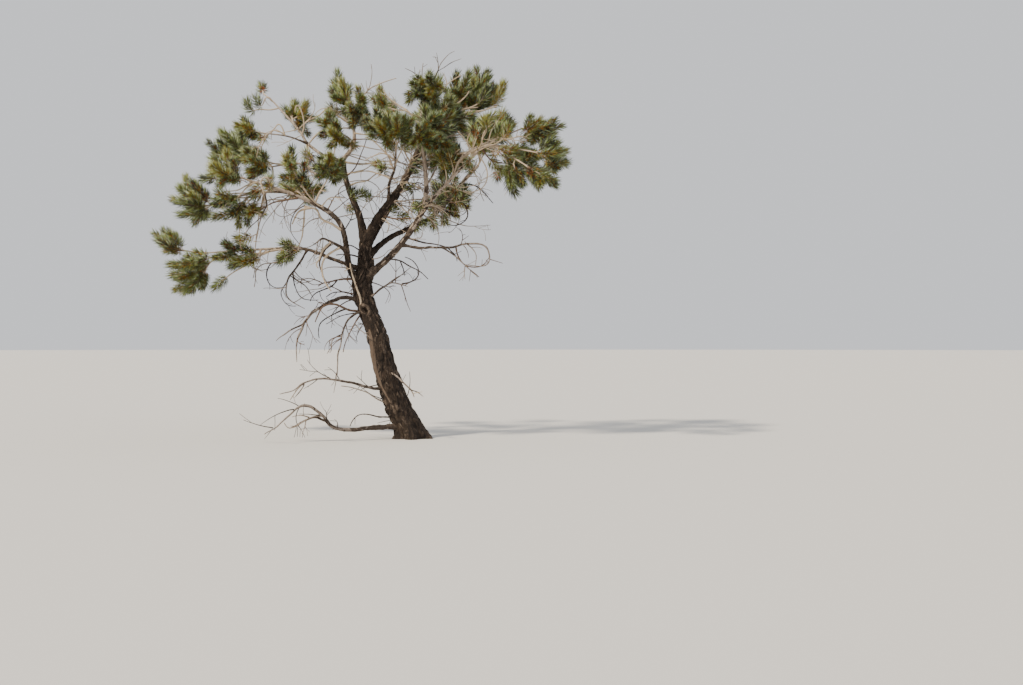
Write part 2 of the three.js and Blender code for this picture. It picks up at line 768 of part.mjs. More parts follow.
// Limbs and dead limbs, each cut clear of the pieces before it that it runs into.
for (const entry of [...LIMBS, ...DEAD_LIMBS]) {
  const limb = limbFrom(entry);
  limbs.set(entry.name, limb);
  const parts = [limb];
  for (const places of entry.forks ?? []) {
    const [, ...rest] = places;
    const share = nearestShare(limb.course, vec(places[0]));
    const course = courseThrough([placeOn(limb.course, share).point, ...rest.map(vec)]);
    const thick = limb.girthAt(share) * FORK_GIRTH;
    parts.push({ course, girthAt: (at) => mix(thick, entry.girth[1] * 0.8, at) });
  }
  let solid = wasm.Manifold.union(parts.map((piece) => limbSolid(piece)));
  for (const [other, room] of rooms) {
    if (solid.intersect(room).volume() > 0) {
      solid = cutClear(solid, room);
    }
  }
  rooms.set(entry.name, wasm.Manifold.union(parts.map((piece) => limbSolid(piece, GAP))));
  parts.forEach((piece) => takeCourse(entry.name, piece.course, piece.girthAt));
  const living = entry.girth[0] > 12 ? COLOURS.bark : COLOURS.pale;
  const colour = DEAD_LIMBS.includes(entry) ? COLOURS.dead : living;
  tree.add(meshOf(entry.name, solid, colour));
}

// Masses: all stems first, so that no shoot grows into one, then each mass's shoots.
const stems = new Map();
for (const mass of MASSES) {
  const stem = stemOf(mass);
  const spray = stemSpray(stem);
  stems.set(mass.name, { stem, spray });
  takeCourse(mass.name, stem.course, stem.girthAt);
  stretchesOf(spray).forEach((stretch) => taken.push({ owner: mass.name, ...stretch }));
}
for (const mass of MASSES) {
  const { stem, spray } = stems.get(mass.name);
  const random = seeded(mass.seed + NEEDLE_SEEDS);
  const shoots = shootsOf(mass, stem);
  const stemSteps = 4;
  const rings = [];
  for (let i = 0; i <= stemSteps; i++) {
    const share = i / stemSteps;
    rings.push({ ...placeOn(stem.course, share), radius: stem.girthAt(share) });
  }
  const sprays = [spray, ...shoots].map((shoot) => shootSolid(shoot, random));
  const pieces = [tube(rings, SPRAY_SIDES), ...sprays];
  let solid = wasm.Manifold.union(pieces);
  solid = cutClear(solid, rooms.get(mass.on));
  tree.add(meshOf(mass.name, solid, COLOURS.needles));
}

export default tree;
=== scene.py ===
"""A small wind-shaped pine of the pinyon kind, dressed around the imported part.

The tree grows by the same seeded rule as its solids, carried to finer twigs and to needles within
the same reach. Lengths are in millimetres until a mesh is made, and meshes are in metres.
"""

import math

import bpy
import numpy as np
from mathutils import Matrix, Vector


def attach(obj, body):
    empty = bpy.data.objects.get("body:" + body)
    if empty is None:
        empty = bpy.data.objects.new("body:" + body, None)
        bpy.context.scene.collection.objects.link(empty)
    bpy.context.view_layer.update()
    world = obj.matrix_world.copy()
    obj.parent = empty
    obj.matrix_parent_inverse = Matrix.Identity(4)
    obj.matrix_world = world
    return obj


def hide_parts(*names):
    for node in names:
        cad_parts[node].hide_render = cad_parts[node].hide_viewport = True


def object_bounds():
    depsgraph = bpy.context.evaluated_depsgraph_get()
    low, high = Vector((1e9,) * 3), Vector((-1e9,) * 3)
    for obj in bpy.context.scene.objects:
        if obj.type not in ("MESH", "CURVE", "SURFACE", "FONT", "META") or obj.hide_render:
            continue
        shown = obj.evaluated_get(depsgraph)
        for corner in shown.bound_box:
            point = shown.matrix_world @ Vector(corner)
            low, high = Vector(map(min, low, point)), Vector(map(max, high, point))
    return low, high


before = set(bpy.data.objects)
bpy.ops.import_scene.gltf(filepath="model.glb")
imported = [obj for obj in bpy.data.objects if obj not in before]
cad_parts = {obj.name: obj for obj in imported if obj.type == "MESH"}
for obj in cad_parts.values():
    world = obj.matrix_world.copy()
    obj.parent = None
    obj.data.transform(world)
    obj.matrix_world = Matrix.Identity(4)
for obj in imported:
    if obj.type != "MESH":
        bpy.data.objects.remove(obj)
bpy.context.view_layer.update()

MM = 0.001
MASK = 0xFFFFFFFF
UP = np.array([0.0, 0.0, 1.0])
EYE = np.array([500.0, -6400.0, 480.0])  # where the front is seen from

# The solids' sizes, as in the part's source
SUNK = 6  # a limb that carries on from a tip starts this far inside it
COLLAR = 0.45  # extra girth of a side limb where it leaves its parent
COLLAR_FADE = 1.5  # length over which it fades, in half girths

# Trunk: height, across, back and half width of each section up to the fork
TRUNK_SECTIONS = [
    (0, 0, 0, 86),
    (45, -8, 0, 78),
    (145, -58, 0, 71),
    (245, -97, -4, 62),
    (345, -130, -8, 59),
    (445, -155, -10, 55),
    (545, -180, -10, 52),
    (645, -222, -6, 51),
    (745, -246, 0, 49),
    (800, -244, 2, 51),
    (870, -230, 4, 42),
    (945, -232, 2, 34),
    (1035, -230, 0, 26),
]
FLARE = 0.2  # extra girth of the root lobes at the ground
FLARE_HEIGHT = 60  # the lobes fade over about this height
LOBES = 5

# Limbs: half girth at the root and at the end, the places that the limb runs through, and how pale
# its bark is at the root and at the end, a paleness partly of smooth thin bark and partly painted
# sunlight on the boughs that stand in the sun. The first place is moved onto the parent's own
# middle line, and "tip" means the parent's end.
LIMBS = [
    dict(name="left_leader", on="trunk", girth=(20, 12), pale=(0, 0.5), through=[
        (-230, 0, 975), (-265, 10, 1120), (-310, 25, 1230), (-335, 35, 1310), (-350, 50, 1410)]),
    dict(name="left_leader_top", on="left_leader", girth=(12, 5), pale=(0.75, 1.1), through=[
        "tip", (-300, 60, 1470), (-295, 65, 1540), (-305, 75, 1600), (-280, 90, 1695)]),
    dict(name="right_leader", on="trunk", girth=(23, 15), pale=(0, 0.6), through=[
        (-220, 0, 975), (-170, -15, 1095), (-90, -25, 1205), (-30, -30, 1290), (45, -45, 1455)]),
    dict(name="right_leader_top", on="right_leader", girth=(13, 4), pale=(0.55, 1), through=[
        "tip", (50, -40, 1560), (55, -25, 1675), (55, -10, 1780)]),
    dict(name="rear_leader", on="trunk", girth=(14, 7), pale=(0, 0.6), through=[
        (-228, 5, 940), (-155, 62, 1090), (-80, 85, 1220), (-25, 120, 1350), (115, 290, 1565)]),
    dict(name="right_front_bough", on="trunk", girth=(19, 9), pale=(0.4, 0.95), through=[
        (-240, 0, 800), (-130, -60, 880), (-35, -110, 975), (50, -150, 1095), (85, -175, 1220),
        (70, -215, 1435)]),
    dict(name="right_rear_bough", on="trunk", girth=(16, 7), pale=(0.05, 0.8), through=[
        (-230, 5, 900), (-115, 65, 1010), (90, 170, 1125), (235, 250, 1300), (325, 300, 1405)]),
    dict(name="long_right_bough", on="right_front_bough", girth=(10, 4), pale=(0.65, 1), through=[
        (55, -155, 1105), (155, -215, 1215), (265, -270, 1320), (375, -320, 1415),
        (495, -370, 1395)]),
    dict(name="right_upper_bough", on="long_right_bough", girth=(7, 4), pale=(0.8, 1), through=[
        (215, -245, 1270), (260, -200, 1380), (355, -120, 1450), (550, 0, 1550)]),
    dict(name="front_bough", on="right_leader", girth=(9, 5), pale=(0.3, 0.9), through=[
        (-110, -22, 1180), (-105, -80, 1260), (-70, -160, 1330), (-55, -260, 1415)]),
    dict(name="left_bough", on="trunk", girth=(18, 6), pale=(0.1, 1.1), through=[
        (-245, 0, 770), (-305, -40, 850), (-345, -120, 1070), (-525, -195, 1185),
        (-755, -270, 1255)]),
    dict(name="left_bough_lower", on="left_bough", girth=(7, 4), pale=(0.7, 1), through=[
        (-580, -215, 1215), (-710, -190, 1210), (-840, -140, 1195), (-945, -100, 1165)]),
    dict(name="left_low_bough", on="trunk", girth=(11, 4), pale=(0.2, 1.2), through=[
        (-232, 4, 840), (-400, 50, 900), (-550, 100, 955), (-735, 150, 960), (-1085, 240, 945)]),
    dict(name="mid_left_bough", on="left_leader", girth=(8, 4), pale=(0.65, 1.1), through=[
        (-345, 40, 1350), (-480, 80, 1330), (-580, 140, 1395), (-740, 220, 1390)]),
    dict(name="upper_left_bough", on="left_leader", girth=(10, 3.5), pale=(0.55, 1.1), through=[
        (-350, 45, 1395), (-445, 90, 1425), (-545, 150, 1500), (-600, 190, 1580),
        (-765, 280, 1760)]),
    dict(name="upper_left_side_bough", on="upper_left_bough", girth=(6, 3.5), pale=(0.6, 1),
         through=[(-545, 150, 1500), (-640, 110, 1530), (-730, 60, 1535)]),
]

# Dead limbs, bare and curled. A fork leaves its limb at its own first place.
DEAD_LIMBS = [
    dict(name="dead_right_curl", on="right_front_bough", girth=(7, 3), through=[
        (-30, -112, 940), (75, -150, 945), (225, -200, 945), (320, -235, 960), (385, -255, 930),
        (395, -255, 875), (350, -245, 845), (285, -235, 855)],
        forks=[[(100, -155, 945), (190, -190, 930), (245, -215, 880), (340, -240, 800)]]),
    dict(name="dead_right_low", on="trunk", girth=(6, 3), through=[
        (-240, 0, 690), (-150, -50, 745), (-90, -90, 775), (-10, -130, 755)],
        forks=[[(-120, -75, 765), (-60, -60, 800), (0, -50, 850)]]),
    dict(name="dead_left_arch", on="trunk", girth=(11, 3.5), through=[
        (-246, 0, 695), (-340, -50, 700), (-420, -80, 665), (-500, -110, 600), (-550, -140, 500),
        (-550, -160, 385)],
        forks=[[(-520, -118, 575), (-595, -90, 540), (-665, -60, 485)]]),
    dict(name="dead_left_droop", on="trunk", girth=(6, 2.5), through=[
        (-222, -6, 640), (-305, -100, 590), (-340, -170, 445), (-340, -200, 360),
        (-360, -230, 240)],
        forks=[[(-325, -140, 520), (-375, -150, 490), (-380, -160, 440)]]),
    dict(name="dead_left_stub", on="left_bough", girth=(9, 3), through=[
        (-325, -85, 930), (-410, -150, 985), (-450, -175, 965), (-495, -190, 945)],
        forks=[[(-380, -130, 970), (-430, -120, 905), (-440, -115, 840), (-400, -110, 760)]]),
    dict(name="dead_left_hook", on="left_low_bough", girth=(6, 3), through=[
        (-535, 98, 950), (-595, 60, 855), (-635, 30, 770), (-610, 15, 695), (-535, 0, 650)],
        forks=[[(-612, 45, 815), (-545, 60, 770), (-495, 70, 700)]]),
    dict(name="dead_left_hanging", on="left_bough", girth=(4, 2.5), through=[
        (-700, -252, 1255), (-670, -290, 1145), (-705, -300, 1040), (-720, -300, 930)],
        forks=[[(-690, -296, 1080), (-760, -310, 1020), (-790, -315, 950)]]),
    dict(name="dead_low_upper", on="trunk", girth=(8, 3), through=[
        (-100, -4, 230), (-225, -90, 265), (-350, -170, 300), (-450, -220, 305),
        (-530, -260, 260), (-605, -290, 235)],
        forks=[[(-500, -245, 282), (-520, -255, 240), (-545, -262, 215)]]),
    dict(name="dead_low_lower", on="trunk", girth=(14, 3.5), through=[
        (-10, 0, 62), (-220, -110, 58), (-360, -180, 60), (-415, -220, 130), (-505, -250, 180),
        (-600, -280, 100), (-680, -300, 40)],
        forks=[[(-395, -205, 100), (-470, -190, 115), (-580, -170, 65)]]),
    dict(name="dead_low_stub", on="trunk", girth=(6, 3), through=[
        (-130, -8, 345), (-50, -95, 300), (5, -130, 250), (25, -140, 215)],
        forks=[[(5, -130, 250), (45, -140, 235), (70, -150, 215)]]),
    dict(name="dead_top", on="right_leader_top", girth=(4, 2), through=[
        (55, -25, 1670), (85, -45, 1725), (125, -60, 1810), (180, -70, 1895), (220, -70, 1925)],
        forks=[[(130, -60, 1820), (185, -40, 1865), (250, -30, 1890)]]),
]
FORK_GIRTH = 0.75  # of its limb's girth where it leaves
FORK_END = 0.8  # of its limb's girth at its end

# Sprays and the rule of growth, as in the part's source
NEEDLE_ROOM = 48  # length that the source leaves for the needles
SPRAY_LENGTH = (72, 104)  # shortest and longest axis of a spray
SPRAY_REACH = 42  # how far the needles stand off the axis
TWIG = 3.2  # half girth of a shoot below its needles
STEM_SEEDS = 2000  # added to a mass's seed where its stem is drawn
CHOICES = 40  # places tried for each shoot, of which the one farthest from the others stays
CLEAR = 3  # least distance from a shoot to another mass or limb
SISTERS = 0.74  # share of their reach that two sprays of one mass keep to themselves
RISE = 0.32  # how strongly a spray turns upwards
FORWARD = 0.35  # how strongly a spray turns along its stem
ROOM_KEPT = 0.6  # share of a needle's length by which tips keep off the limits of their space
ROOM_LEAST = 10  # least half size of the space for tips
TIP_STEM = (0.3, 6)  # how far a stem's bend lies out along its limb, and the stem's most half
SIDE_STEM = (0.12, 5)  # girth, where it carries on from a limb's tip and where it leaves a side
STEM_BEND = 0.25  # place of the bend between root and middle
STEM_SHORT = 0.5  # share of a spray by which a stem ends before its place
SLANT = 0.75  # how far down its stem a shoot leaves, as a share of its distance from it
SHOOT_LEAVES = (0.12, 0.9)  # stretch of the stem that shoots leave
SPRAY_MOST = 0.85  # share of a shoot that its spray takes at most
KNEE_ALONG = 0.16  # how far a shoot's knee lies along its stem's line
KNEE_BACK = 0.1  # and back along its spray's, as shares of its bare part
FINE = 8  # straight steps of a course between two of its places
SHARES_TRIED = np.linspace(0, 1, 201)  # of a course, to find its point nearest to a place
TAKEN_STEP = 40  # longest straight stretch that stands for a part of a limb or a stem
SPRAY_START = 14  # the needles' full reach begins this far up a spray

# Masses: the limb and the place along it (1 is its tip) that carries the stem, the middle and
# the half sizes of the space that the needles keep to, the number of shoots, and the seed.
MASSES = [
    ("needles_left_low_tip", "left_low_bough", 1, (-1300, 262, 1010), (80, 110, 65), 1, 47),
    ("needles_left_low_outer", "left_low_bough", 0.82, (-1185, 190, 845), (120, 160, 135), 5, 29),
    ("needles_left_low_inner", "left_low_bough", 0.5, (-910, 80, 880), (125, 160, 140), 1, 38),
    ("needles_left_low_near", "left_low_bough", 0.42, (-655, 190, 940), (70, 110, 70), 0, 2),
    ("needles_left_mid_outer", "left_bough_lower", 1, (-1100, -60, 1190), (100, 200, 125), 5, 15),
    ("needles_left_mid_lower", "left_bough_lower", 0.45, (-845, -230, 1120), (155, 160, 75), 3, 53),
    ("needles_left_mid_upper", "left_bough", 1, (-880, -340, 1295), (105, 190, 110), 4, 8),
    ("needles_left_high_outer", "mid_left_bough", 1, (-980, 280, 1530), (100, 190, 110), 4, 6),
    ("needles_left_high_upper", "upper_left_side_bough", 1, (-805, 20, 1540), (95, 140, 65), 1, 18),
    ("needles_left_high_inner", "mid_left_bough", 0.8, (-815, 90, 1405), (75, 140, 90), 2, 45),
    ("needles_upper_left_tip", "upper_left_bough", 1, (-830, 295, 1775), (80, 120, 105), 0, 2),
    ("needles_upper_left_side", "upper_left_bough", 0.66, (-615, 340, 1675), (85, 150, 110), 2, 1),
    ("needles_upper_left_inner", "left_leader_top", 0.25, (-360, -120, 1520), (90, 150, 100), 2, 15),
    ("needles_left_inner_front", "left_bough", 0.55, (-525, -430, 1275), (75, 160, 115), 1, 35),
    ("needles_left_inner_low", "left_bough", 0.62, (-555, 70, 1260), (125, 140, 70), 3, 15),
    ("needles_leader_left_front", "left_leader", 0.7, (-375, -240, 1320), (85, 175, 95), 4, 18),
    ("needles_leader_left_top", "left_leader_top", 0.75, (-380, 150, 1740), (80, 190, 135), 2, 43),
    ("needles_leader_left_crown", "left_leader_top", 1, (-245, -60, 1630), (60, 140, 105), 2, 32),
    ("needles_centre_spire", "rear_leader", 0.72, (-175, 270, 1775), (65, 140, 105), 0, 28),
    ("needles_centre_front", "front_bough", 1, (-65, -380, 1490), (120, 210, 100), 7, 6),
    ("needles_right_top_left", "right_leader_top", 1, (70, -110, 1710), (95, 160, 120), 6, 20),
    ("needles_right_top_outer", "rear_leader", 1, (305, 230, 1800), (175, 210, 125), 9, 77),
    ("needles_right_heart_front", "right_front_bough", 1, (85, -340, 1480), (110, 190, 120), 3, 27),
    ("needles_right_heart_back", "rear_leader", 0.85, (95, 450, 1645), (130, 200, 125), 1, 60),
    ("needles_right_heart_mid", "right_leader_top", 0.2, (185, 20, 1585), (100, 160, 100), 1, 80),
    ("needles_right_heart_low", "right_upper_bough", 0.3, (180, -60, 1390), (90, 150, 100), 4, 58),
    ("needles_right_shoulder", "right_rear_bough", 1, (370, 330, 1615), (130, 200, 100), 7, 27),
    ("needles_right_round", "right_upper_bough", 1, (650, 20, 1550), (110, 175, 80), 3, 77),
    ("needles_right_tip", "long_right_bough", 1, (730, -250, 1380), (75, 175, 100), 3, 8),
    ("needles_right_mid", "right_upper_bough", 0.7, (595, 30, 1395), (115, 150, 85), 4, 31),
    ("needles_right_hanging", "long_right_bough", 0.85, (600, -400, 1225), (135, 160, 70), 2, 40),
    ("needles_rear_low", "right_rear_bough", 0.72, (175, 340, 1250), (105, 175, 120), 3, 44),
]

# Finer twigs than the source's: each shoot carries a few side twigs with shorter sprays
SIDE_SHOOTS = 2
FULL_SIDE_SHOOTS = 5  # on each shoot of the fuller masses
FULL_MASSES = ("needles_right_heart_front", "needles_right_heart_back", "needles_right_heart_mid",
               "needles_right_heart_low", "needles_right_shoulder", "needles_rear_low")
STEM_LEAVES = (0.55, 0.95)  # stretch of a stem that side twigs leave
SIDE_CHOICES = 16
SIDE_LEAVES = (0.25, 0.8)  # stretch of a shoot's bare part that side twigs leave
SIDE_LENGTH = (80, 125)  # from the fork to the side spray's tip
SIDE_AXIS = (46, 66)  # length of a side spray's needled part
SIDE_AXIS_MOST = 0.75  # and the most of its twig that it takes
SIDE_KNEE = 0.2  # how far its knee lies along the bare stretch's line
SIDE_OUT = (0.45, 1.0)  # how far a side twig turns out, as a share of its forward run
SIDE_REACH = 33  # how far its needles stand off
SIDE_SISTERS = 0.42
SIDE_SEEDS = 4000
SIDE_SIZE = 0.86  # of a full needle
SIDE_TWIG = TWIG * 0.8  # half girth below its needles

# Needles
NEEDLE = 48  # length of one needle
NEEDLE_THICK = 1.6  # half its thickness, larger than life so that fewer are enough
SHEATH_STEP = 1.1  # distance along a spray from one pair of needles to the next
PAIR_SPREAD = 5  # degrees between the two needles of a pair
NEEDLED_BACK = 0.5  # share of a source shoot's bare part that stays bare
GOLDEN_TURN = 137.5  # degrees from one pair to the next round the twig
LEAN_ROOT = 64  # degrees between a needle and its twig at the spray's root
LEAN_TIP = 26  # and at its tip
LEAN_STRAY = 8
LEAN_LIMITS = (4, 86)
TURN_STRAY = 9  # degrees
INCURVE = 0.16  # how far a needle's tip bends back towards the twig's line, of its length
NEEDLE_BEND = 0.43  # place of a needle's bend along it, where it is thickest
UPCURVE = 0.03  # how far a needle's tip bends up, of its length
NEEDLE_OUT = 1.2  # how far a needle's root stands off the middle of its twig
NEEDLE_LENGTHS = (0.84, 1.08)  # shares of a full needle's length
LENGTH_PLACES = (0, 0.2, 0.75, 1)  # along a spray, and a needle's length there
LENGTH_SHARES = (0.8, 1, 1, 0.86)
STRAY_SHARE = 0.4  # share of a spray's needles with a colour of their own
GREEN_HEARTS = 0.35  # share of them whose lower part has no colour of the heart
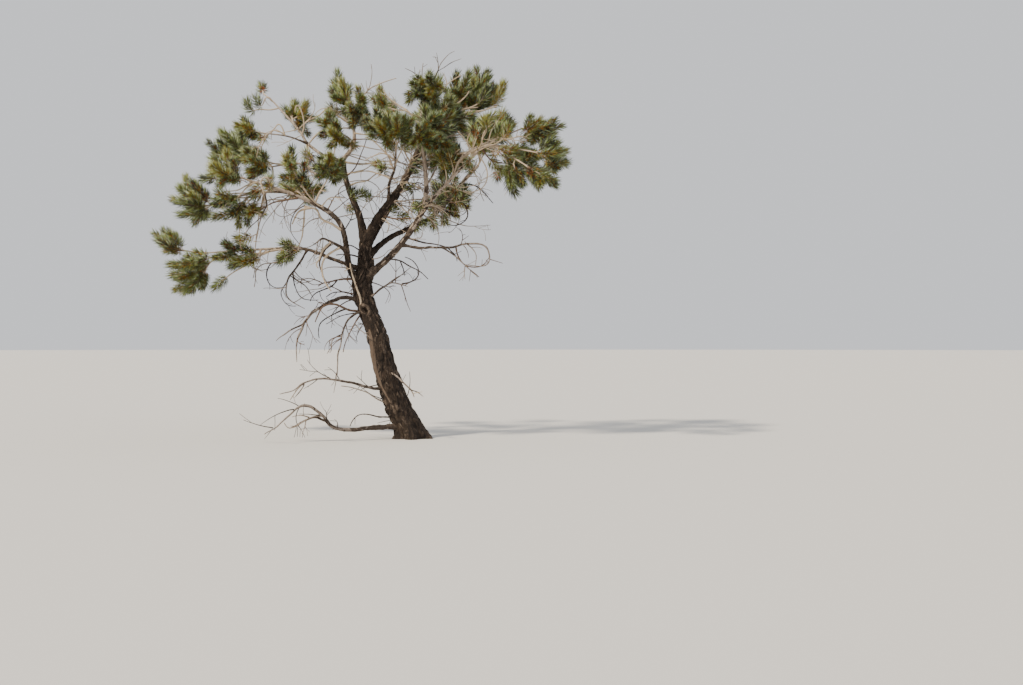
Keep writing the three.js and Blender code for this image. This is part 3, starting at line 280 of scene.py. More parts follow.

# Curled twigs that the tree is known by. A limb's name stands above the curls that leave it, and a
# curl with - before it leaves the last one without. Each has its colour (dark: partly painted shade);
# its half girth at the root; how far back (or forward, below 0) its end lies; the length of its end
# that a tuft of needles covers; and then its places in the front view, across and down in pixels.
FOOT_PIXEL = (411.5, 438.5)  # the foot's place in the front view
PIXEL = 5  # size of a pixel at the foot
CURLS = """
upper_left_bough
pale 3.9 -30 60  271,102 266,96 263,103 261,107 258,103 256,98
pale 3.9 -20 70  275,111 269,110 262,109 257,109 253,111 249,108 247,102
pale 4.2 -20 0  302,134 304,126 303,117 301,110 298,104 295,106 295,112
pale 4.7 -40 0  309,143 313,138 319,132 325,129 331,128 336,132 338,139
pale 4.7 -60 0  310,142 317,134 324,130 330,133 333,139 335,147 334,154 331,158 327,159
pale 4.2 -30 0  306,144 307,152 306,160 307,168 308,176
pale 3.6 -50 0  308,146 309,155 308,163 310,171 313,177
upper_left_side_bough
pale 4.4 0 0  285,136 283,130 281,125 278,123 275,127 273,131 268,134 262,133
pale 3.9 -20 0  285,136 281,132 276,130 271,131 265,133
pale 3.6 -20 0  266,134 262,140 259,146 257,152 256,158
pale 3.6 10 0  268,134 264,141 261,147 260,153
mid_left_bough
pale 4.2 0 0  272,167 267,161 260,157 253,155 246,152
pale 4.4 -60 0  272,167 273,173 272,178 266,180 258,181 248,183
left_bough
pale 5.2 -50 0  273,180 267,177 262,178 260,182 263,190 265,198 267,205 267,211 263,215 258,215
pale 3.9 -20 0  262,181 252,183 245,186 238,190 230,191 222,192
pale 3.9 -40 0  258,182 251,184 245,189 240,195 234,200 226,204 219,208
brown 5 -40 0  298,198 290,199 281,201 273,202 266,206 260,210
pale 4.2 10 0  300,197 288,199 278,200 270,199 264,203 261,209
left_bough_lower
pale 4.9 -30 0  275,189 264,189 254,192 244,193 234,193 224,196
pale 4.4 -40 0  272,190 262,192 255,195 249,200 245,204
pale 3 0 0  264,191 259,198 256,203 252,207
pale 3.9 20 0  264,192 262,201 260,211 258,221 258,231 256,240 255,249
- pale 3 0 70  258,233 252,236 245,238 238,239
pale 3.9 -10 0  252,194 245,201 241,209 238,215 232,219 225,220
pale 3.9 30 0  266,192 262,204 256,212 247,215 238,215 229,217
pale 3 60 0  247,193 244,205 242,216 240,227 239,238 241,249
left_bough
pale 7 -20 0  341,230 335,226 328,222 321,219 319,214 317,209 311,208 305,206
- dark 2.8 10 0  305,205 299,208 294,213 291,220 290,228 292,235 296,240 299,244
- pale 6.5 -10 0  311,208 304,209 299,211 296,215 294,220 292,224
- pale 4.9 10 0  305,206 304,213 304,221 303,229 302,237 299,244 298,250
- grey 3 0 0  319,218 313,219 308,222 304,227 300,230
pale 5.5 -60 0  315,202 318,195 321,189 325,183 328,177
pale 4.2 -30 0  321,207 325,202 330,197 337,197 344,198
brown 3.2 -10 0  331,203 335,196 341,192 347,189
dark 3.4 -20 0  345,229 348,224 351,219 353,212
left_leader_top
pale 5.7 -30 0  352,128 349,123 344,119 338,116 333,112 330,106 325,110 319,115 313,118 308,120 304,124
pale 3.6 -10 0  350,125 341,118 334,111 327,108 320,109 315,114
pale 4.2 20 0  352,128 344,128 338,128 333,126 329,124
pale 3.6 10 0  354,110 350,102 346,96 343,92
pale 4.9 40 0  357,104 362,97 366,92 370,88 378,84 386,81 396,78
grey 2.8 20 0  358,103 364,95 369,88 371,80 372,72 371,64
grey 2.5 0 0  358,103 364,94 363,87 361,83
pale 4.2 -40 0  354,133 361,134 370,135 379,135 388,134
brown 3.4 -60 0  352,139 360,139 369,139 377,142 384,144 391,147
left_leader
pale 4.2 -80 0  350,147 358,146 366,147 374,149 382,150
brown 3.9 -60 0  350,175 354,169 358,162 361,154 364,146 366,140
pale 5.7 -60 0  345,162 352,163 361,164 370,163 379,161 388,161 396,160
pale 4.2 -70 0  351,173 358,171 366,169 372,164 379,161
pale 4.9 -50 0  350,185 358,182 366,181 373,176 379,172 386,168
grey 2.8 -60 0  351,181 360,180 369,181 376,185 380,190 383,196 381,203
brown 3 -30 60  346,201 352,198 357,196 362,192
left_bough
brown 2.8 -30 40  344,196 348,199 351,197 352,191
front_bough
pale 3.9 -60 70  397,166 394,157 392,148 389,139
pale 3.9 -90 60  396,163 399,155 403,147 406,139
long_right_bough
pale 2.7 -60 90  486,149 495,151 505,151 515,149
pale 2.4 -30 80  492,149 499,155 508,157 518,156
front_bough
pale 4.2 -30 0  397,161 391,157 385,153 378,154 371,157 365,160
pale 4.9 0 0  392,180 386,176 379,174 371,171 362,171 354,173
pale 4.7 -10 0  394,160 388,155 383,150 377,144 371,139 365,137
pale 4.9 -40 0  394,171 391,163 389,157 385,151 386,143
grey 2.8 -20 0  390,186 383,190 377,195 371,199 365,199
grey 2.8 -20 45  394,169 388,168 382,166 377,164
trunk
dark 4.4 -70 0  361,251 356,248 350,245 343,245
dark 4.4 -80 0  361,258 352,255 344,254 336,255
pale 6 -30 0  360,310 361,304 360,297 357,289 354,280 351,271 350,263
- pale 2.8 -10 0  351,268 347,269 344,271
brown 5.5 -50 0  352,279 344,279 336,280 329,282 322,283 318,286
- dark 4.4 -10 0  337,280 332,286 325,289 317,292 312,296 310,301
- grey 2.5 0 0  330,283 322,288 308,290 300,292 295,292
- brown 3 0 0  322,283 316,280 309,278 302,280 296,284
dark 4 -60 0  357,298 351,294 345,292 338,292 331,293 326,297
brown 6 -90 0  356,312 349,310 342,307 335,304 328,304 321,308 318,315 315,322
- dark 3.9 0 0  346,309 339,311 332,315 326,318 320,323 318,331 319,338
dark 3.2 -80 0  356,313 344,315 336,318 330,322 326,324
brown 4.4 -110 0  360,315 356,321 352,328 348,336 345,344 343,352
- grey 2.8 0 0  355,324 360,330 365,333 370,338
grey 3 -60 0  372,259 378,258 384,255 388,250 392,249
grey 4 -100 0  381,404 375,398 368,393 360,390 350,387 341,386
dark 4.1 -120 0  388,418 379,417 370,415 361,414 354,418 350,426
dead_left_stub
pale 5.7 -30 0  330,243 326,246 322,251 320,256 318,262 315,264 318,268
pale 6 -40 0  338,250 330,253 325,257 322,264 322,272 324,280 327,286 331,291
left_low_bough
pale 4.9 -20 0  284,250 274,250 265,252 257,256 248,259 240,262
grey 3.4 -40 60  302,249 296,248 290,246 283,243
grey 3.4 -40 60  300,249 294,252 288,256 281,259
pale 4.4 -30 80  262,257 248,264 235,271 224,279 215,287
grey 4.1 -40 0  288,250 284,258 278,262 270,263 263,264 257,268 255,274 255,281 254,287
- dark 3.4 0 0  271,263 268,267 266,273 267,280 271,286 277,288 283,287
dead_left_hook
dark 3.2 0 0  292,273 288,279 285,285 281,290 281,296 284,302 290,306 296,306
dark 3.4 -20 0  293,271 293,279 295,287 298,294 303,299 310,300 318,300
brown 3 -40 0  294,271 299,277 306,281 313,285 320,284
dead_right_low
dark 3.9 0 0  402,283 410,282 416,279 419,273 417,266 412,260 405,257
right_front_bough
dark 4.1 -40 0  386,259 393,259 401,261 409,266 418,270 423,274 428,279
- dark 3.2 0 0  400,262 403,268 405,275
dark 4.8 10 0  410,239 418,241 426,243 435,244 443,246 450,248
dead_right_curl
brown 3.7 0 0  456,248 457,254 460,260 465,265 472,267 480,267 486,262 490,256
- brown 3 0 0  465,265 470,270 475,273 479,277
- grey 2.8 0 0  465,266 464,272 465,279
grey 3 0 0  467,244 472,248 476,254 476,260 475,266
dark 3.2 0 0  448,248 452,252 456,255 457,261
long_right_bough
pale 3.7 30 0  475,151 480,157 485,164 487,172 487,180 483,187 476,191 469,192 463,190
pale 3 -20 0  474,151 468,144 463,137 458,131
pale 4.4 -20 0  454,174 456,167 459,160 466,155 474,150 482,146 490,143 498,141
- pale 3 0 0  487,145 496,146 505,145 511,148 515,152 519,153
- pale 2.7 -20 0  483,146 489,140 494,137 498,133
- pale 2.7 20 0  490,147 500,147 508,145 515,147 519,151
pale 3.3 -10 80  500,147 505,154 507,162 508,170 508,178 511,186 515,193
brown 3.7 30 0  484,150 488,157 495,162 505,163 514,162 521,163
right_upper_bough
pale 4.4 -40 0  497,136 505,139 513,138 521,136 528,138
right_leader_top
pale 5.2 40 0  421,146 432,142 443,138 452,136 461,134 469,132 476,129
- pale 2.9 -20 0  443,138 453,139 461,137 469,134
pale 5.7 60 0  421,132 436,125 449,119 461,114 470,111 480,111 488,109 497,106
- pale 4.4 20 0  459,115 463,110 470,108 478,107
pale 4.4 20 0  421,140 434,134 446,129 457,124 467,121
pale 4.7 80 0  421,128 430,121 439,114 449,108 459,102 466,96 469,91
pale 4.4 60 0  422,110 432,100 440,93 444,88 448,83 454,79 461,75
- pale 3 0 0  447,84 446,79 444,74
grey 3.7 0 0  422,84 422,76 422,70 423,63
- grey 2.5 0 0  422,78 419,73 420,69
dead_top
brown 3 -20 0  430,87 426,82 420,77 413,72 405,68
right_leader_top
pale 5.7 80 0  421,126 415,120 410,113 406,110 399,110 392,109 388,107
- pale 4.7 40 0  407,110 400,106 393,101 387,96 383,89
right_leader
pale 4.9 -60 0  411,163 406,155 404,148 407,141 414,133
right_front_bough
grey 5 30 0  427,184 431,178 434,172 437,165 438,157 438,150
- pale 4.4 -20 0  437,166 442,162 448,158 454,153 460,149
right_leader
brown 4.4 -60 0  384,216 391,218 399,219 407,218 416,219
grey 3.9 -60 0  398,203 405,201 413,199 423,199
brown 3.9 -60 0  402,191 410,186 417,182 423,184 427,190
grey 3.4 -70 0  400,193 407,190 415,189 425,189
pale 4.4 -80 0  408,156 414,160 420,163 425,166
grey 3 -60 0  396,203 402,208 408,213 414,218
pale 4.4 -50 0  383,219 388,222 389,227 387,232
right_rear_bough
grey 4.4 -20 0  461,183 466,176 471,171 475,167 477,160
- pale 2.9 0 0  466,178 472,176 480,177
dark 3.9 0 0  462,184 469,184 476,186 482,190 487,196 493,203
- grey 2.8 0 0  480,189 481,194 484,201
dark 4.1 -20 0  459,200 464,203 467,209 468,216 464,222 457,225 449,225 443,221 439,215
dark 3.4 -20 0  464,197 469,201 468,208 464,214 458,216 451,214
dark 3.4 0 0  443,208 448,212 454,217
grey 2.8 -20 40  430,216 432,220 434,226
grey 2.8 -20 45  440,212 443,216 445,222
dead_low_lower
grey 3.9 0 0  325,417 317,416 309,418 301,423 293,428 287,428 284,423
- grey 3 0 0  309,417 300,415 292,417
- grey 2.8 0 0  306,419 305,426 302,434
dead_low_upper
grey 3.4 0 0  304,381 298,388 294,394 290,400
right_leader_top
pale 4.4 -60 90  424,130 430,126 435,119 438,109
pale 4.4 -110 100  424,133 433,129 442,122 451,113
pale 4.2 -150 90  423,136 433,134 442,131 452,128
right_leader
pale 4.2 -140 90  409,166 411,157 411,147 410,135
pale 4.2 -170 100  411,164 419,156 426,148 433,139
pale 3.9 -200 100  411,165 421,161 431,155 443,148
long_right_bough
pale 2.9 -60 90  446,183 446,173 443,162 440,152
pale 2.7 -90 90  452,175 453,167 450,158 447,147
pale 2.9 -40 55  467,151 467,141 471,131 478,123
pale 2.7 -80 55  478,147 483,138 487,129 484,120
pale 2.4 -120 50  470,151 473,142 476,135 473,128
pale 2.9 -60 60  480,150 490,144 497,137 499,127
pale 2.9 -90 60  486,148 497,143 505,136 508,127
right_leader_top
pale 4.7 100 130  422,120 440,119 460,115 478,112 492,106 499,97 503,84
pale 4.2 60 100  422,118 440,114 460,110 474,106 482,99 487,88
pale 3.9 -20 110  423,112 431,104 437,93 439,79
right_rear_bough
brown 3.4 20 90  448,214 446,206 441,198 435,189
brown 3.4 -20 80  454,207 459,202 463,196 465,187
brown 3.2 60 60  444,215 440,211 435,207 430,203
left_low_bough
grey 3.4 20 50  292,250 288,254 285,258 280,262
long_right_bough
brown 3.2 40 80  484,152 489,158 494,164 502,171
"""
CURL_STEP = 9  # length of one straight step of a curl
CURL_TAPER = 0.5  # share of its girth that it keeps at its tip
CURL_WAVER = 1.1  # how far its line strays
CURL_KNOBS = 0.1  # and its girth, as a share
CURL_TUFT_MOST = 0.8  # share of it that a tuft takes at most
CURL_TWIGLETS = 3  # most short twiglets on it
CURL_TWIGLET = (25, 80)  # their length
CURL_TWIGLET_LEAVES = (0.2, 0.9)  # stretch of the curl that they leave
CURL_TWIGLET_FORWARD = 0.6  # how strongly they turn along it
CURL_TWIGLET_GIRTH = 0.6  # of its girth there
CURL_TWIGLET_CURLS = (0.004, 0.018)
CURL_ASIDE = 0.85  # most that a curl's root lies off its parent's middle line, in girths
CURL_DEEP = 0.9  # how far it lies from there towards the parent's surface
CURL_SEEDS = 5000

# Bare twigs by the same rule, on all sides: the limb and the stretch of it that they leave, how
# many, their length, the way they lean, how tightly they curl (one over the radius), their colour
# and the share of them that end in a tuft of needles.
BARE_TWIGS = [
    ("trunk", (0.56, 0.74), 6, (120, 300), (-0.5, 0.6, 0), (0.005, 0.013), "brown", 0),
    ("trunk", (0.45, 0.8), 8, (100, 280), (0.4, 1, 0), (0.004, 0.012), "brown", 0),
    # the dark twigs low on the trunk are partly painted shade
    ("trunk", (0.08, 0.45), 6, (80, 240), (-0.6, 0.5, 0), (0.002, 0.008), "dark", 0),
    ("left_bough", (0.1, 0.95), 9, (110, 330), (-0.5, 0.4, -0.1), (0.005, 0.015), "grey", 0),
    ("left_bough_lower", (0.1, 0.9), 5, (100, 260), (-1, 0, 0), (0.004, 0.011), "pale", 0.3),
    ("left_low_bough", (0.15, 0.95), 8, (110, 300), (-0.6, 0.5, 0), (0.006, 0.016), "grey", 0),
    ("left_leader", (0.2, 0.95), 8, (110, 300), (-0.2, 0.5, 0.3), (0.004, 0.013), "grey", 0.2),
    ("left_leader_top", (0.1, 0.7), 6, (100, 280), (0, 0.4, 0.2), (0.005, 0.015), "pale", 0.4),
    ("mid_left_bough", (0.1, 0.95), 7, (100, 280), (-0.6, 0.2, 0.1), (0.005, 0.015), "pale", 0.4),
    ("upper_left_bough", (0.05, 0.6), 6, (90, 240), (-0.3, 0.5, 0), (0.005, 0.016), "pale", 0.4),
    ("right_leader", (0.15, 0.95), 14, (110, 330), (0, 0.5, 0.3), (0.004, 0.014), "grey", 0.3),
    ("right_leader_top", (0.1, 0.6), 6, (100, 240), (0, 0.4, 0.2), (0.003, 0.012), "pale", 0.6),
    ("rear_leader", (0.2, 0.9), 14, (110, 330), (0, 0.6, 0.2), (0.003, 0.013), "grey", 0.4),
    ("right_front_bough", (0.3, 0.95), 8, (100, 280), (0.4, 0.4, 0.1), (0.005, 0.015), "grey", 0.3),
    ("right_rear_bough", (0.3, 0.95), 6, (110, 320), (0.5, 0.5, -0.2), (0.006, 0.016), "grey", 0.2),
    ("long_right_bough", (0.1, 0.9), 10, (100, 300), (0.3, 0.4, 0.1), (0.005, 0.014), "pale", 0.5),
    ("right_upper_bough", (0.1, 0.9), 9, (100, 280), (0.4, 0.1, 0.2), (0.005, 0.014), "pale", 0.5),
    ("front_bough", (0.15, 0.9), 5, (90, 240), (0, -0.4, 0.2), (0.004, 0.014), "grey", 0.4),
    ("dead_right_curl", (0.2, 0.95), 5, (50, 140), (0.2, 0, -0.8), (0.005, 0.016), "brown", 0),
    ("dead_right_low", (0.3, 0.95), 5, (60, 170), (1, 0.3, 0.3), (0.004, 0.012), "brown", 0),
    ("dead_left_arch", (0.2, 0.95), 6, (60, 200), (-0.6, 0.2, -0.5), (0.005, 0.014), "brown", 0),
    ("dead_left_droop", (0.2, 0.95), 5, (60, 180), (-0.6, 0, -0.7), (0.003, 0.012), "brown", 0),
    ("dead_left_stub", (0.3, 0.95), 3, (60, 160), (-0.5, 0.3, -0.5), (0.006, 0.016), "grey", 0),
    ("dead_left_hook", (0.1, 0.95), 5, (60, 180), (0.3, 0.5, -0.3), (0.006, 0.016), "grey", 0),
    ("dead_left_hanging", (0.2, 0.95), 3, (50, 140), (-0.5, 0, -0.5), (0.004, 0.014), "pale", 0),
    # the dark twigs of the low dead limbs are partly painted shade
    ("dead_low_upper", (0.2, 0.95), 6, (60, 200), (-0.8, 0, -0.2), (0.002, 0.009), "dark", 0),
    ("dead_low_lower", (0.25, 0.95), 8, (60, 220), (-0.8, 0, 0.2), (0.002, 0.009), "dark", 0),
    ("dead_low_stub", (0.3, 0.95), 3, (40, 100), (0.8, 0, -0.5), (0.002, 0.009), "pale", 0),
    ("dead_top", (0.3, 0.95), 3, (50, 120), (0.4, 0, 0.4), (0.001, 0.007), "grey", 0),
    ("right_front_bough", (0.5, 1), 8, (90, 240), (0.1, -0.9, 0.3), (0.003, 0.012), "pale", 0),
    ("right_leader", (0.6, 1), 7, (90, 240), (0, -0.9, 0.2), (0.004, 0.013), "pale", 0),
    ("long_right_bough", (0.05, 0.6), 7, (90, 220), (0.2, -0.8, 0.3), (0.004, 0.013), "pale", 0),
    ("front_bough", (0.3, 1), 5, (80, 200), (0.2, -0.8, 0.2), (0.004, 0.012), "pale", 0),
]

TWIG_SAG = 0.0012  # how strongly a bare twig turns down
TWIG_SEEDS = 1  # the first table row's seed
TWIG_STEP = 13  # length of one straight step of a bare twig
TWIG_ROOT = 3.3  # half girth of a long bare twig at its root
TWIG_END = 1.1
TWIG_KINK = 0.035  # how much a step strays from the curl
TWIG_WAVER = 0.06  # and how much the side that it curls to does
TWIG_STRAY = 0.7  # how much its lean strays
TWIG_FORWARD = (0, 0.9)  # how strongly it turns along its limb
TWIG_INSIDE = 0.6  # how far out its root lies, in its limb's half girths
TWIG_THIN = 1.6  # half girth at the root of the shortest
TWIG_LONG = 260  # a twig of this length or more is as thick as the thickest
TWIGLETS = 3  # most side twiglets of each
TWIGLET_LEAST = 90  # a twig shorter than this has none
TWIGLET_SHARE = (0.25, 0.6)  # of its twig's length
TWIGLET_LEAVES = (0.25, 0.85)  # stretch of its twig that it leaves
TWIGLET_OUT = 0.8  # how far it turns out, as a share of its forward run
TWIGLET_GIRTH = 0.75  # of its twig's where it leaves
TWIG_SIDES = 4
CURL_SIDES = 6
TUFT = 3  # steps of a twig that its tuft of needles covers
TUFT_SIZE = 1  # of a full needle
FLOOR_CLEAR = 8  # nothing grows nearer to the ground than this
REACH_CLEAR = 4  # nor nearer to the limits of the solids' reach

# Colours of plain surfaces, by the places that they have on the tree
NEEDLE_COLOURS = {
    "needle_gold": "#ae821c",
    "needle_amber": "#a85a12",
    "needle_olive": "#736f24",
    "needle_moss": "#4e5728",
    "needle_deep": "#242b12",
    "needle_fresh": "#86974a",
    "needle_silver": "#a9b893",
}
HEARTS = [("needle_gold", 0.5), ("needle_amber", 0.12), ("needle_olive", 0.38)]
GREENS = [("needle_moss", 0.46), ("needle_olive", 0.24), ("needle_deep", 0.3)]
STRAYS = [("needle_silver", 0.3), ("needle_fresh", 0.35), ("needle_deep", 0.35)]
TWIG_COLOURS = {
    "twig_pale": "#b2a18b",
    "twig_grey": "#8a7d71",
    "twig_brown": "#624f41",
    # the dark twig colour is partly painted shade, on low twigs and curls by the trunk that stand in
    # shade
    "twig_dark": "#3a302a",
    "twig_orange": "#a06a2c",
    "bud": "#b87a3a",
}
NEEDLE_LOOK = (0.42, 0.5)  # roughness and shine
TWIG_LOOK = (0.85, 0.2)

# Bark
BARK_STEP = 4.6  # distance between rings of a bark skin
BARK_FACE = 4.4  # width of one face of it
PLATE = 19  # width of the trunk's plates of bark
PLATE_STRETCH = 2.8  # their length, in widths
CRACK_SLOPE = 2.2  # how steeply a plate rises from its cracks
CRACK_ROUND = 0.8
WARP = 5  # how far the plates' borders stray
WARP_SIZE = 20
TRUNK_RELIEF = 9  # depth of the cracks on the trunk
TRUNK_SIDES = 100
TRUNK_TOP = 12  # height of its blunt end, inside the fork
LIMB_SIDES = (9, 34)  # fewest and most faces round a limb
LIMB_PLATE = 0.55  # width of a limb's plates, in its half girths
LIMB_PLATES = (6, 13)  # and the least and the most of it
LIMB_STRETCH = 2.6  # their length, in widths
LIMB_RELIEF = (0.34, 0.08)  # depth of the cracks in dark bark and in pale bark
LIMB_SEEDS = 40  # the first limb's seed
PALE_FROM = (0.3, 0.66)  # where grey bark begins, and pale bark
KNOT = dict(height=640, angle=-100, ring=25, wall=10, rise=-6, hollow=12, rings=33, sides=10)
# The bare strip of wood: height, angle and half width at places down the trunk
STRIP = [(625, -110, 10), (590, -112, 21), (540, -118, 22), (460, -130, 18), (367, -140, 16),
         (267, -134, 15), (227, -124, 13), (180, -112, 9)]
STRIP_RISE = 7  # how far it stands out of the trunk
STRIP_HOLLOW = 1.5  # reach of the smooth bed round it, in half widths
STRIP_RINGS = 90
STRIP_SIDES = 18
BARK_TONES = ("bark_dark", "bark_grey", "bark_pale", "bark_bare")
BARK_SHINE = 0.25
COLOUR_SPREAD = (0.32, 0.68)  # values of the noise that have a pattern's first and last colour
# Looks: colours from the cracks up, cells of the noise in a metre and their stretch, the least and
# most roughness, and the strength and the depth of the fine relief
BARK_MATERIALS = {
    "bark_dark": dict(colours=["#100d0b", "#1f1915", "#352b23", "#5e5247"], scale=60, stretch=2.5,
                      rough=(0.8, 1.0), bump=(0.7, 0.004)),
    "bark_grey": dict(colours=["#1b1612", "#372e27", "#584c42", "#8a7e72"], scale=70, stretch=2.2,
                      rough=(0.75, 1.0), bump=(0.6, 0.003)),
    # the pale bark's light colours are partly painted sunlight, those of the boughs' sunlit side
    "bark_pale": dict(colours=["#5a4d42", "#8c7e70", "#a5978a", "#bcaea0"], scale=90, stretch=2,
                      rough=(0.65, 0.9), bump=(0.4, 0.0015)),
    "bark_bare": dict(colours=["#362b23", "#4f4136", "#5f5145", "#74665a"], scale=80, stretch=9,
                      rough=(0.55, 0.8), bump=(0.35, 0.0015)),
}
DEAD_MATERIALS = {
    # the first look, the darker wood near the root, is partly the wood's own tone and partly painted
    # shade
    "dead_dark_and_shade": dict(colours=["#27201b", "#41372f", "#5b5048"], scale=110, stretch=3,
                      rough=(0.75, 1.0), bump=(0.5, 0.0015)),
    "dead_silver": dict(colours=["#453b33", "#6b6058", "#867b72", "#9f958c"], scale=110, stretch=3,
                        rough=(0.7, 0.95), bump=(0.5, 0.0015)),
}

# Dead wood
DEAD_STEP = 6
DEAD_SIDES = 9
DEAD_WAVE = 55  # length of the waves of its line
DEAD_STRAY = 5  # and their height
DEAD_STRETCH = 3  # length of its knobs, in widths
DEAD_POINT = 0.55  # share of its girth that it keeps at its end
DEAD_SEEDS = 300  # the first dead limb's seed

# Shoots
SHOOT_STEP = 11
SHOOT_SIDES = 5
SHOOT_END = 1.6  # half girth at its end
SHOOT_KNOBS = 0.14  # how much its girth strays, as a share
STEM_KNOBS = 0.12
STEM_SIDES = 7
YEARLY = 0.6  # share of the shoots with orange sheaths
YEAR_LENGTH = (22, 36)  # length of the stretch with them
YEAR_PLACE = (8, 30)  # how far from the tip it ends
YEAR_RINGS = np.array([0, 0.2, 0.5, 0.8, 1])
YEAR_GIRTHS = np.array([1.5, 3.8, 4.6, 3.6, 1.5])
BUD = 8  # length of the bud at a spray's tip
BUD_RINGS = np.array([0, 0.25, 0.6, 0.85])
BUD_GIRTHS = np.array([1.5, 2.5, 2.0, 0.9])
SHOOT_SEED = 7
MOST_TRIANGLES = 190000  # in a piece of needles

# Studio
LENS = 45
SENSOR = 36
FLOOR_RADIUS = 80  # metres
FLOOR_SIDES = 96
FLOOR_COLOUR = "#c9c7c3"
FLOOR_LOOK = (0.9, 0.1)
WORLD_COLOUR = "#eceef2"


def seeded(seed):
    """Even random numbers from 0 to 1, the same ones as in the part's source for the same seed."""
    state = seed & MASK

    def draw():
        nonlocal state
        state = (state + 0x6D2B79F5) & MASK
        mixed = ((state ^ (state >> 15)) * (state | 1)) & MASK
        mixed ^= (mixed + (mixed ^ (mixed >> 7)) * (mixed | 61)) & MASK
        return (mixed ^ (mixed >> 14)) / (MASK + 1)

    return draw


def unit(vector):
    return vector / np.linalg.norm(vector)


def mix(a, b, share):
    return a + (b - a) * share


def taper(root, end):
    """A girth that changes evenly from a limb's root to its end, at shares of the length."""
    return lambda shares: mix(root, end, shares)


def square_to(along, vector):
    """The part of a vector that is square to a direction, as a unit."""
    return unit(vector - along * (vector @ along))


def in_cube(random):
    """A place in a cube that reaches from -1 to 1 each way."""
    return np.array([random() * 2 - 1 for _ in range(3)])


class Course:
    """A smooth line through a few places, with the length run at each of its points."""

    def __init__(self, places):
        places = [np.array(place, float) for place in places]
        last = len(places) - 1
        line = []
        for i in range(last):
            a, b, c, d = (places[min(max(k, 0), last)] for k in range(i - 1, i + 3))
            for k in range(FINE):
                t = k / FINE
                line.append(
                    a * (-0.5 * t**3 + t**2 - 0.5 * t)
                    + b * (1.5 * t**3 - 2.5 * t**2 + 1)
                    + c * (-1.5 * t**3 + 2 * t**2 + 0.5 * t)
                    + d * (0.5 * t**3 - 0.5 * t**2)
                )
        line.append(places[last])
        self.line = np.array(line)
        self.run = run_along(self.line)
        self.length = self.run[-1]

    def at(self, shares):
        """The places and the directions at shares of the length."""
        wanted = np.clip(np.asarray(shares, float), 0, 1) * self.length
        i = np.clip(np.searchsorted(self.run, wanted), 1, len(self.run) - 1)
        step = self.line[i] - self.line[i - 1]
        size = (self.run[i] - self.run[i - 1])[..., None]
        part = (wanted - self.run[i - 1])[..., None] / size
        return self.line[i - 1] + step * part, step / size

    def nearest(self, place):
        """The share of the length that lies nearest to a place."""
        places = self.at(SHARES_TRIED)[0]
        return SHARES_TRIED[np.argmin(np.linalg.norm(places - place, axis=1))]


def run_along(line):
    """The length run at each point of a line."""
    steps = np.linalg.norm(np.diff(line, axis=0), axis=1)
    return np.concatenate([[0], np.cumsum(steps)])


# Growth: the same rule as the source's

def trunk_width(heights):
    """Half width of the trunk at heights."""
    levels, _, _, widths = zip(*TRUNK_SECTIONS)
    return np.interp(heights, levels, widths)


def trunk_girth(shares):
    """Half width of the trunk at shares of its course."""
    return trunk_width(trunk_course.at(shares)[0][..., 2])


trunk_course = Course([(across, back, up) for up, across, back, _ in TRUNK_SECTIONS])
limbs = {"trunk": dict(course=trunk_course, girth_at=trunk_girth)}


def add_limb(entry):
    """A limb's course from its parent, with its girth at each share of the length."""
    parent = limbs[entry["on"]]
    place = entry["through"][0]
    root, end = entry["girth"]
    if place == "tip":
        point, along = parent["course"].at(1)
        first = point - along * SUNK
        covered = collar = 0
    else:
        share = parent["course"].nearest(np.array(place, float))
        first = parent["course"].at(share)[0]
        covered = parent["girth_at"](share)
        collar = COLLAR
    course = Course([first, *entry["through"][1:]])

    def girth_at(at):
        out = np.maximum(np.asarray(at) * course.length - covered, 0)
        return mix(root, end, np.asarray(at)) * (1 + collar * np.exp(-out / (COLLAR_FADE * root)))

    forks = []
    for start, *rest in entry.get("forks", []):
        leaves = course.nearest(np.array(start, float))
        fork = Course([course.at(leaves)[0], *rest])
        forks.append((fork, taper(girth_at(leaves) * FORK_GIRTH, end * FORK_END)))
    limbs[entry["name"]] = dict(course=course, girth_at=girth_at, forks=forks)
    for part, girth in [(course, girth_at), *forks]:
        taken.add_course(entry["name"], part, girth)


